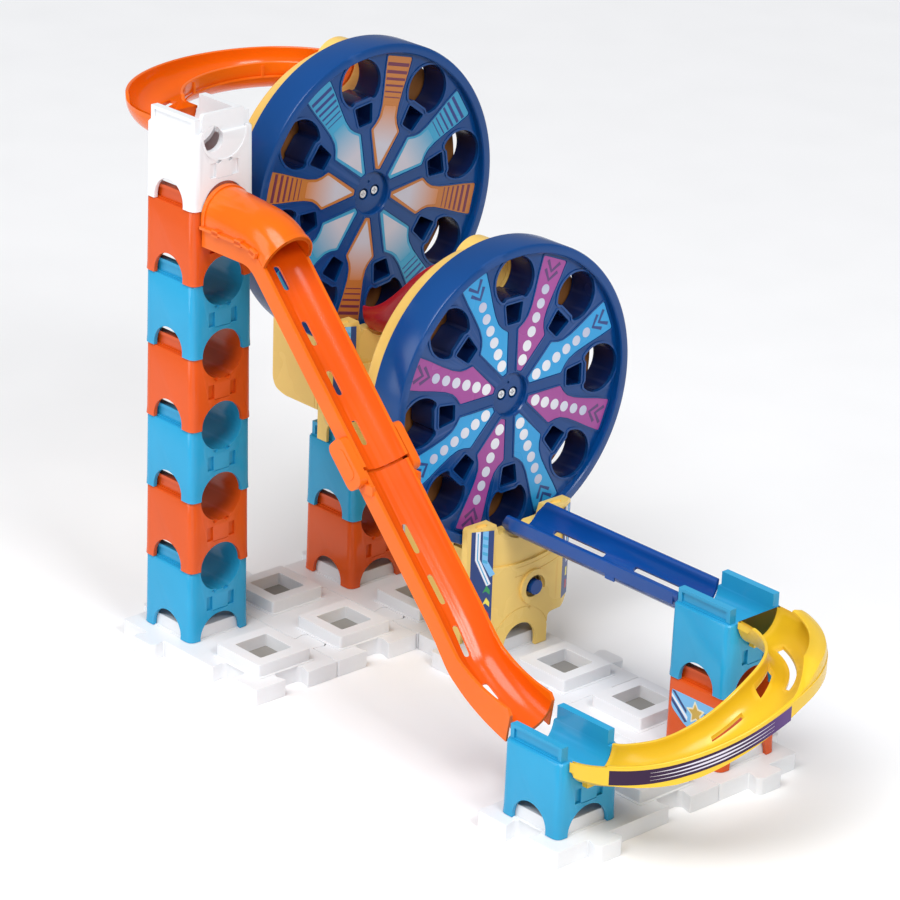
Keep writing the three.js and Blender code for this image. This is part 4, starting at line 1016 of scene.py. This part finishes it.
def turned(points, degrees):
    c, s = math.cos(math.radians(degrees)), math.sin(math.radians(degrees))
    return [(y * c - z * s, y * s + z * c) for y, z in points]


def pocket(grow=0.0):
    """A round pocket with a bracket-shaped flat on the side of the hub."""
    r = POCKET_R + grow
    flat = -12.4 - grow
    start = math.acos(flat / r)
    arc = [(POCKET_CIRCLE + r * math.cos(a), r * math.sin(a)) for a in evenly(start, -start, 40)]
    x = POCKET_CIRCLE + flat
    bracket = [(x - 0.2, -8.6), (x + 1.4, -6.4), (x + 1.4, 6.4), (x - 0.2, 8.6)]
    return arc + bracket


def cup(grow=0.0):
    low, high = 5.5 + grow, 7.5 + grow
    near, far = CUP_NEAR - grow, CUP_FAR + grow
    return rounded([(near, -low), (far, -high), (far, high), (near, low)], 1.6 + grow, 4)


SPOKE = [(16.6, 1.5), (41.8, 12.0), (46.5, 8.8), (51, 7.0), (58, 6.6), (68, 7.6), (80, 9.3), (90.2, 10.3)]


def spoke(grow=0.0, start=0.0, end=200.0):
    """The outline of a printed spoke, from near the hub out to the rim."""
    upper = []
    for r, half in SPOKE:
        shift = grow if r > 80 else (-grow if r < 20 else 0)
        upper.append((r + shift, half + grow))
    upper = [p for p in upper if start <= p[0] <= end]
    lower = [(r, -half) for r, half in reversed(upper)]
    radii = [0.9] * len(upper + lower)
    for i in (len(upper) - 1, len(upper)):
        radii[i] = min(1.8, 0.6 + 0.1 * abs((upper + lower)[i][1]))
    return rounded(upper + lower, radii, 3)


def half_at(r):
    for (r0, h0), (r1, h1) in zip(SPOKE, SPOKE[1:]):
        if r0 <= r <= r1:
            return h0 + (h1 - h0) * (r - r0) / (r1 - r0)
    return SPOKE[-1][1]


def ring(outer, inner, low, high):
    """A closed wall between two outlines with the same number of points."""
    loops = []
    for o, i in zip(outer, inner):
        loops.append([(low, *o), (high, *o), (high, *i), (low, *i)])
    return loft(loops, closed=True)


def wheel(phase):
    profile = [
        (14, 6.0), (14, 7.9), (14.7, WHEEL_FACE), (93.4, WHEEL_FACE), (93.4, 12.6), (94.1, WHEEL_FRONT),
        (98.4, WHEEL_FRONT), (99.5, 12.9), (100, 11.8), (100, -11.2), (99.3, WHEEL_BACK),
        (94.8, WHEEL_BACK), (94.8, 6.0),
    ]
    body = lathe(profile, 160)
    angles = [phase + 45 * i for i in range(8)]
    body = cut(body, *[prism("yz", turned(pocket(), a), 0, 20) for a in angles])
    body = cut(body, *[prism("yz", turned(cup(), a), 0, 20) for a in angles])
    shapes = [body]
    for a in angles:
        # Material 1, the darker navy of the pocket sleeves, cup walls and cup floors, is painted shade.
        shapes.append(painted(ring(turned(pocket(2.4), a), turned(pocket(), a), WHEEL_BACK, 7), 1))
        shapes.append(ring(turned(pocket(1.4), a), turned(pocket(0), a), 8, 9.3))
        shapes.append(painted(ring(turned(cup(1.6), a), turned(cup(), a), -6, 7), 1))
        shapes.append(ring(turned(cup(1.1), a), turned(cup(0), a), 8, 9.2))
        shapes.append(painted(prism("yz", turned(cup(1.2), a), -6.2, -4.6), 1))
    for a in [phase - 22.5 + 45 * i for i in range(8)]:
        shapes.append(ring(turned(spoke(1.5), a), turned(spoke(0.7), a), 8, 9.15))
    hub = prism("yz", circle(15.2, n=72), WHEEL_BACK, HUB_FACE)
    wells = [prism("yz", circle(3.9, *at, 32), HUB_FACE - 2.4, 20) for at in screw_places(phase)]
    vent = prism("yz", circle(0.9, *turned([(0.5, 7.4)], phase)[0], 20), HUB_FACE - 1, 20)
    hub = cut(hub, *wells, vent, prism("yz", circle(8.6), -30, -3))
    shapes += [hub, ring(circle(14.9, n=72), circle(13.6, n=72), HUB_FACE - 0.5, HUB_FACE + 0.7)]
    return together(*shapes)


def screw_places(phase):
    return turned([(4.8, 0), (-4.8, 0)], phase - 4)


def prints(kind, phase):
    """The printed spokes: (outline, material number, how proud)."""
    shapes = []

    def lay(outline, angle, index, proud):
        ink = prism("yz", turned(outline, angle), WHEEL_FACE - 0.3, WHEEL_FACE + proud)
        shapes.append(painted(ink, index))

    for i in range(8):
        a = phase - 22.5 + 45 * i
        first = i % 2 == 0
        lay(spoke(0.3), a, 0 if first else 1, 0.15)
        if kind == "dots":
            for k in range(6):
                r = 23.3 + 9.36 * k
                lay(circle(3.75 - 0.09 * k, r, 0, 28), a, 2, 0.25)
            for r in (76.2, 82.0):
                lay(band([(r + 6.4, 5.6), (r, 0), (r + 6.4, -5.6)], 2.3), a, 3 if first else 4, 0.25)
        else:
            inner = spoke(-1.5, end=59)
            lay(inner, a, 2 if first else 3, 0.25)
            for r, width in ((63.6, 0.6), (67.2, 0.9), (71.3, 1.3), (75.6, 1.7), (80.2, 2.1), (85.2, 2.3)):
                half = half_at(r) - 0.5
                bar = rectangle(r - width / 2, r + width / 2, -half, half)
                lay(bar, a, 4 if first else 5, 0.25)
    return together(*shapes)


def screw(y, z):
    head = prism("yz", circle(2.6, 0, 0, 36), HUB_FACE - 2.2, HUB_FACE - 0.4)
    cross = [prism("yz", rectangle(-a, a, -b, b), HUB_FACE - 1.2, 20) for a, b in ((1.7, 0.35), (0.35, 1.7))]
    head = cut(head, *cross)
    shank = prism("yz", circle(1.0, 0, 0, 16), -13, HUB_FACE - 2.1)
    return moved(together(head, shank), 0, y, z)


# ---------------------------------------------------------------- stands and drums

DRUM_R, COVER_BACK, BOX_REAR, PLATE_FRONT, PLATE_BACK, UNIT_FLOOR = 91.0, -30.0, -60.0, -13.5, -16.5, 20.0
BOX_FRONT, BOX_BACK, POST_TOP, UNDER_TOP = 26.0, 14.6, 93.6, 66.9
WAY_Z = 2.07 * BLOCK
MODULE, WHEEL_TEETH, SMALL_TEETH = 3, 36, 10
UPPER_IDLER, LOWER_IDLER = 69, 99  # how far down the gear line the idlers sit
REACH = MODULE * WHEEL_TEETH / 2 + 4 * 15 + 15
BEARING_FRONT = -23.1
DRIVE_Y = 10.0
FALL = math.sqrt(REACH**2 - DRIVE_Y**2)


def along_gears(distance):
    return DRIVE_Y / REACH * distance, HUB - FALL / REACH * distance


DRIVE = along_gears(REACH)


def stand():
    """The yellow stand: front panel with a U for the track, the box below the wheel and its foot."""
    front = [
        (-24, 0), (24, 0), (24, UNIT_FLOOR), (40, UNIT_FLOOR + 1), (46, UNIT_FLOOR + 6), (46, POST_TOP),
        (-43, POST_TOP), (-43, UNIT_FLOOR + 6), (-38, UNIT_FLOOR), (-24, UNIT_FLOOR),
    ]
    front = rounded(front, [0, 0, 4, 5, 5, 3, 3, 5, 5, 4])
    panel = prism("yz", front, BOX_BACK, BOX_FRONT)
    left = prism("xy", [(28, -22.8), (26, -26), (19.4, -40), (18.6, -60), (40, -60), (40, -22.8)], -1, 200)
    right = prism("xy", [(26, 35.5), (20.5, 46), (18, 52), (40, 52), (40, 30), (26, 30.5)], -1, 200)
    above = prism("yz", rectangle(-60, 60, 20, 120), BOX_FRONT - 1.6, 40)
    above = boolean(above, [prism("yz", circle(109.6, 0, HUB, 160), 0, 60)], "INTERSECT")
    under = box((PLATE_FRONT + 0.3, BOX_BACK + 1), (-24, 24), (0, UNDER_TOP))
    body = union(panel, under)
    inside = box((PLATE_FRONT - 1, BOX_FRONT - 2.4), (-21.8, 21.8), (-1, 64.5))
    inside_front = box((BOX_BACK + 2.4, BOX_FRONT - 4.2), (-34, 38), (UNIT_FLOOR + 4, 64.5))
    arches = [prism("yz", arch(14.2, 5, n=40), -60, 60), moved(prism("xz", arch(8, 7, n=32), -60, 60), 4)]
    ways = [
        prism("yz", circle(BORE, 0, WAY_Z, 64), -60, 60),
        box((-60, 60), (-BORE, BORE), (WAY_Z, 200)),
        prism("yz", circle(20.2, 0, WAY_Z, 80), 22, 60),
        box((22, 60), (-20.2, 20.2), (WAY_Z, 200)),
    ]
    mouth = prism("yz", [(-20.6, 86), (20.6, 86), (23.6, 95), (-23.6, 95)], BOX_BACK - 5, 60)
    y, z = DRIVE
    lip_gap = [(y - 4, z - 9), (y + 20, z + 2.5), (y + 20, UNIT_FLOOR), (y - 4, UNIT_FLOOR)]
    lip = cut(
        prism("yz", circle(11.8, *DRIVE, 72), BOX_FRONT - 0.8, BOX_FRONT + 1.9),
        prism("yz", circle(8.4, y + 0.6, z - 0.6, 64), 0, 60),
        prism("yz", lip_gap, 0, 60),
    )
    hole = prism("yz", circle(7.6, *DRIVE, 64), 5, 60)
    dimples = []
    for y in (-32, 33):
        oval = [(20 + 2.6 * u, y + 4.6 * v) for u, v in circle(1.0, n=32)]
        dimples.append(prism("xy", oval, POST_TOP - 1.6, POST_TOP + 5))
    faint = ring(arch(25.6, 5, 5, 40), arch(24.9, 5, 5, 40), BOX_FRONT - 0.35, BOX_FRONT + 1)
    mark = prism("yz", [(6.2, 29.4), (8.4, 29.4), (7.3, 27.2)], BOX_FRONT - 0.5, 60)
    angles = [math.radians(a) for a in evenly(-93, -74, 24)]
    arc = [(112.2 * math.cos(a), HUB + 112.2 * math.sin(a)) for a in angles]
    lower_arc = [(y * 1.055, HUB + (z - HUB) * 1.055) for y, z in arc]
    scores = [prism("yz", band(line, 0.5), BOX_FRONT - 0.3, 60) for line in (arc, lower_arc)]
    body = cut(body, above, left, right, inside, inside_front)
    body = cut(body, *arches, *ways, mouth, *dimples, faint, mark, *scores)
    return cut(union(body, lip), hole)


def wing_sticker():
    base = Vector((26, -26, 0))
    across = (Vector((19.4, -40, 0)) - base).normalized()
    length = 15.4

    def s(v):
        return length - v

    outline = [(s(15.2), 91), (s(0.2), 91), (s(0.2), 33), (s(3.4), 24.5), (s(15.2), 24.5)]
    layers = [
        (outline, COLOUR["navy"], 0.12),
        (band([(s(4.6), 91), (s(4.6), 71.8), (s(12.6), 53.6)], 3.2), COLOUR["white"], 0.18),
        (band([(s(4.6), 90), (s(4.6), 71.8), (s(12.2), 54.2)], 0.7), COLOUR["cyan"], 0.24),
        (band([(s(9.6), 91), (s(9.6), 70), (s(15), 60)], 3.8), COLOUR["pale_blue"], 0.18),
    ]
    for i in range(4):
        z = 88 - 5.4 * i
        tick = [(s(8), z), (s(11.3), z - 1.2), (s(11.3), z - 3.4), (s(8), z - 2.2)]
        layers.append((tick, COLOUR["cyan"], 0.24))
    for name, z in (("green", 50), ("lemon", 41.6), ("red", 33.2)):
        arrow = [(s(11.4), z + 3.4), (s(8.8), z - 1.6), (s(11.0), z - 0.6), (s(13.6), z - 3.2), (s(13.6), z)]
        layers.append((arrow, COLOUR[name], 0.2))
    flipped = [([(-a, b) for a, b in o], c, w) for o, c, w in layers]
    return decal(base, -across, (0, 0, 1), flipped)


def side_sticker():
    base, tip = Vector((26, 35.5, 0)), Vector((20.5, 46, 0))
    across = tip - base
    length = across.length - 0.4
    layers = [
        (rectangle(0.5, length, 26.5, 90), COLOUR["navy"], 0.12),
        (band([(4.5, 90), (4.5, 62), (8.5, 50)], 2.4), COLOUR["white"], 0.18),
        (band([(8.6, 90), (8.6, 64)], 2.2), COLOUR["pale_blue"], 0.18),
        (rectangle(6.6, 9.4, 40, 46), COLOUR["lemon"], 0.18),
        (rectangle(6.6, 9.4, 31, 37), COLOUR["red"], 0.18),
    ]
    return decal(base, across, (0, 0, 1), layers)


def drum_plate():
    disc = prism("yz", circle(DRUM_R, 0, HUB, 144), PLATE_BACK, PLATE_FRONT)
    disc = union(disc, box((PLATE_BACK, PLATE_FRONT), (-24, 31), (UNIT_FLOOR, HUB - 60)))
    holes = [(9.2, 0, HUB), (POCKET_R + 0.4, 0, HUB + POCKET_CIRCLE), (7.2, *DRIVE)]
    plate = cut(disc, *[prism("yz", circle(r, y, z, 64), -60, 5) for r, y, z in holes])
    # The front face gets material 1, the dark orange-brown of painted shade on the plate seen through the
    # pockets.
    for polygon in plate.data.polygons:
        polygon.material_index = int(polygon.normal.x > 0.9)
    return plate


def drum_cover():
    """The closed back of the drum with its outlet pipe and the gear box under it."""
    front = PLATE_BACK - GAP
    edge = ((COVER_BACK + 3, DRUM_R), (COVER_BACK + 0.9, DRUM_R - 0.9), (COVER_BACK, DRUM_R - 3))
    rim = ((front, DRUM_R), *edge)
    drum = loft([[(x, y, z) for y, z in circle(r, 0, HUB, 144)] for x, r in rim])
    top = HUB - 60
    side = [
        (front, UNIT_FLOOR), (-48, UNIT_FLOOR), (-57, UNIT_FLOOR + 3), (BOX_REAR, UNIT_FLOOR + 9),
        (BOX_REAR, top - 30), (COVER_BACK, top), (front, top),
    ]
    lower = prism("xz", rounded(side, [0, 4, 4, 4, 8, 0, 0]), -24, 31)
    hollow = prism("yz", circle(DRUM_R - 2.4, 0, HUB, 144), COVER_BACK + 2.4, front + 1)
    inner = [
        (front + 1, UNIT_FLOOR + 2.4), (-47.4, UNIT_FLOOR + 2.4), (-57.6, UNIT_FLOOR + 10),
        (-57.6, top - 31), (COVER_BACK - 1, top - 4), (front + 1, top - 4),
    ]
    body = cut(union(drum, lower), hollow, prism("xz", inner, -21.6, 28.6))
    pipe = prism("yz", circle(POCKET_R + 2.6, 0, HUB + POCKET_CIRCLE, 64), OUTLET_END, front)
    shafts = ((0, HUB), along_gears(UPPER_IDLER), along_gears(LOWER_IDLER), DRIVE)
    backs = (COVER_BACK, COVER_BACK, BOX_REAR + 1, BOX_REAR + 1)
    bosses = [prism("yz", circle(7, *at, 40), low, BEARING_FRONT) for at, low in zip(shafts, backs)]
    body = union(body, pipe, *bosses)
    bores = [prism("yz", circle(4.4, *at, 32), -28.2, 0) for at in shafts]
    ribs = []
    for i in range(12):
        a = 30 * i + 15
        if abs((a - 90) % 360) > 14 and abs((a - 270 + 180) % 360 - 180) > 25:
            bar = turned(rectangle(16, 80, -0.9, 0.9), a)
            ribs.append(prism("yz", [(y, z + HUB) for y, z in bar], COVER_BACK, COVER_BACK + 0.8))
    body = cut(body, prism("yz", circle(POCKET_R + 0.4, 0, HUB + POCKET_CIRCLE, 64), -60, 0), *bores)
    rings = []
    for r in (22, 80):
        outer, inner = circle(r + 0.5, 0, HUB, 120), circle(r - 0.5, 0, HUB, 120)
        rings.append(ring(outer, inner, COVER_BACK - 0.1, COVER_BACK + 0.7))
    return cut(body, *ribs, *rings)


FLANK = [(0.27, -1.2), (0.2, -0.3), (0.14, 0.8), (0.1, 0.9)]  # half width in teeth, height in modules
TOOTH = [(-share, height) for share, height in FLANK] + FLANK[::-1]


def gear(teeth, start):
    points = []
    pitch = MODULE * teeth / 2
    for i in range(teeth):
        for share, height in TOOTH:
            a, r = start + (i + share) * 2 * math.pi / teeth, pitch + MODULE * height
            points.append((r * math.cos(a), r * math.sin(a)))
    return points


GEAR_BACK, GEAR_FRONT, SHAFT_BACK = -22.5, -17.5, -27.4
TRAIN = math.atan2(-FALL, DRIVE_Y)


def gear_and_stub(teeth, start, at):
    wheel_shape = prism("yz", gear(teeth, start), GEAR_BACK, GEAR_FRONT)
    stub = prism("yz", circle(4, n=40), SHAFT_BACK, GEAR_BACK + 1)
    return moved(union(wheel_shape, stub), 0, *at)


dots = {
    "magenta": print_ink("magenta_print", (0.36, 0.06, 0.3), rough=0.26),
    "aqua": print_ink("aqua_print", (0.02, 0.34, 0.7), rough=0.26),
    "white": None,
    "plum": print_ink("plum_print", (0.1, 0.035, 0.16), rough=0.26),
    "marine": print_ink("marine_print", (0.012, 0.05, 0.22), rough=0.26),
}
silver = (0.56, 0.55, 0.62)
UNITS = (("lower_lift", 2 * CELL, F, 0.5, "dots"), ("upper_lift", 0, 2 * LEVEL + F, 9.2, "bars"))
for unit, x0, z0, phase, kind in UNITS:
    y0, axis = 2 * CELL, z0 + HUB
    body = unit + "_wheel_body"
    place = {"at": (x0, y0, axis), "body": body}
    centre = (x0 * MM, y0 * MM, axis * MM)
    detail(unit + "_wheel", wheel(phase), [WHEEL, POCKET_SHADE], "wheel_blue", bevel=0.35, **place)
    if kind == "dots":
        dots["white"] = print_ink("dot_print", (0.85, 0.85, 0.88), (0.5, 0.53, 0.68), centre, (0.03, 0.075))
        inks = list(dots.values())
    else:
        copper = print_ink("copper_print", (0.5, 0.17, 0.03), rough=0.26)
        teal = print_ink("teal_print", (0.03, 0.32, 0.55), rough=0.26)
        warm = print_ink("warm_silver_print", silver, (0.6, 0.22, 0.06), centre, (0.034, 0.06))
        cool = print_ink("cool_silver_print", silver, (0.05, 0.34, 0.56), centre, (0.034, 0.06))
        wine, deep = print_ink("wine_print", (0.14, 0.015, 0.05)), print_ink("deep_print", (0.01, 0.03, 0.2))
        inks = [copper, teal, warm, cool, wine, deep]
    finish(unit + "_wheel_prints", prints(kind, phase), inks, bevel=0, **place)
    for i, at in enumerate(reversed(screw_places(phase))):
        node = f"{unit}_hub_screw_{i + 1}"
        finish(node + "_piece", screw(*at), [STEEL], nodes=[node], slot="steel", bevel=0.12, **place)
    unit_at = {"at": (x0, y0, z0)}
    detail(unit + "_stand", stand(), [YELLOW], "yellow", bevel=0.5, **unit_at)
    finish(unit + "_wing_sticker", wing_sticker(), INKS, bevel=0, **unit_at)
    finish(unit + "_side_sticker", side_sticker(), INKS, bevel=0, **unit_at)
    for node, made, inside in (("plate", drum_plate(), [YELLOW, PLATE_SHADE]), ("cover", drum_cover(), [YELLOW])):
        detail(f"{unit}_drum_{node}", made, inside, "yellow", f"{unit}_{node}", bevel=0.35, **unit_at)
    geared = {"bevel": 0.15, **unit_at}
    hub_gear = gear_and_stub(WHEEL_TEETH, TRAIN, (0, HUB))
    shaft = moved(prism("yz", circle(8.2, n=64), GEAR_FRONT - 1, WHEEL_BACK + 8.6), 0, 0, HUB)
    detail(unit + "_wheel_gear", union(hub_gear, shaft), [NAVY], "navy", body=body, **geared)
    half_tooth = math.pi / SMALL_TEETH
    for name, distance, turn in (("upper_idler", UPPER_IDLER, half_tooth), ("lower_idler", LOWER_IDLER, 0.0)):
        shape = gear_and_stub(SMALL_TEETH, TRAIN + turn, along_gears(distance))
        detail(f"{unit}_{name}", shape, [WHITE], "white", body=f"{unit}_{name}_body", **geared)
    pinion = gear_and_stub(SMALL_TEETH, TRAIN + half_tooth, DRIVE)
    shaft = prism("yz", circle(5.9, *DRIVE, 48), GEAR_FRONT - 1, BOX_FRONT - 5)
    peg = prism("yz", circle(5, *DRIVE, 48), BOX_FRONT - 6, BOX_FRONT + 3.6)
    crank, name = union(pinion, shaft, peg), unit + "_crank"
    detail(name + "_shaft", crank, [NAVY], "navy", name, body=name + "_shaft_body", **geared)

# ---------------------------------------------------------------- floor, light and camera

floor = bpy.data.objects.new("floor", bpy.data.meshes.new("floor"))
floor.data.from_pydata([(-6, -6, 0), (6, -6, 0), (6, 6, 0), (-6, 6, 0)], [], [(0, 1, 2, 3)])
floor.location = (0.17, 0.07, 0)
scene.collection.objects.link(floor)
floor.data.materials.append(plastic("pale_floor", (0.93, 0.93, 0.94), shade=0.995, rough=0.6, glow=0.0))
floor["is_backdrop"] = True

world = bpy.data.worlds.new("studio")
world.use_nodes = True
world.node_tree.nodes["Background"].inputs["Color"].default_value = (0.95, 0.97, 1.0, 1)
world.node_tree.nodes["Background"].inputs["Strength"].default_value = 0.36
scene.world = world


def soft_light(name, place, aim, size, power):
    data = bpy.data.lights.new(name, "AREA")
    data.shape = "RECTANGLE"
    data.size, data.size_y = size
    data.energy = power
    light = bpy.data.objects.new(name, data)
    light.location = place
    light.rotation_euler = (Vector(aim) - Vector(place)).to_track_quat("-Z", "Y").to_euler()
    scene.collection.objects.link(light)
    light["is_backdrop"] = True


CENTRE = (0.17, 0.05, 0.15)
soft_light("key", (1.7, -0.3, 1.5), CENTRE, (0.6, 0.6), 16)
soft_light("left", (-0.6, -1.8, 0.9), CENTRE, (0.7, 1.4), 9)
high_sun = bpy.data.objects.new("high_sun", bpy.data.lights.new("high_sun", "SUN"))
high_sun.data.energy = 2.0
high_sun.data.angle = math.radians(35)
high_sun.rotation_euler = Vector((-0.15, 0.55, -1)).to_track_quat("-Z", "Y").to_euler()
scene.collection.objects.link(high_sun)
high_sun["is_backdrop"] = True

# The camera looks from the front right, a little above, and leans two degrees.
AZIMUTH, ELEVATION, ROLL = (math.radians(a) for a in (46.89, 22.23, 2.02))
level = math.cos(ELEVATION)
back = Vector((math.sin(AZIMUTH) * level, -math.cos(AZIMUTH) * level, math.sin(ELEVATION)))
right = Vector((math.cos(AZIMUTH), math.sin(AZIMUTH), 0))
up = back.cross(right)
tilted_right = math.cos(ROLL) * right + math.sin(ROLL) * up
tilted_up = -math.sin(ROLL) * right + math.cos(ROLL) * up
camera = bpy.data.objects.new("camera", bpy.data.cameras.new("camera"))
camera.data.lens = 146.5
camera.data.sensor_width = 36
turn = Matrix((tilted_right, tilted_up, back)).transposed().to_4x4()
camera.matrix_world = Matrix.Translation((1.6891, -1.3606, 1.0227)) @ turn
scene.collection.objects.link(camera)
scene.camera = camera
scene.view_settings.view_transform = "Standard"

size = {"cad": CAD_BOX, "visual": [list(corner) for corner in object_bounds()]}
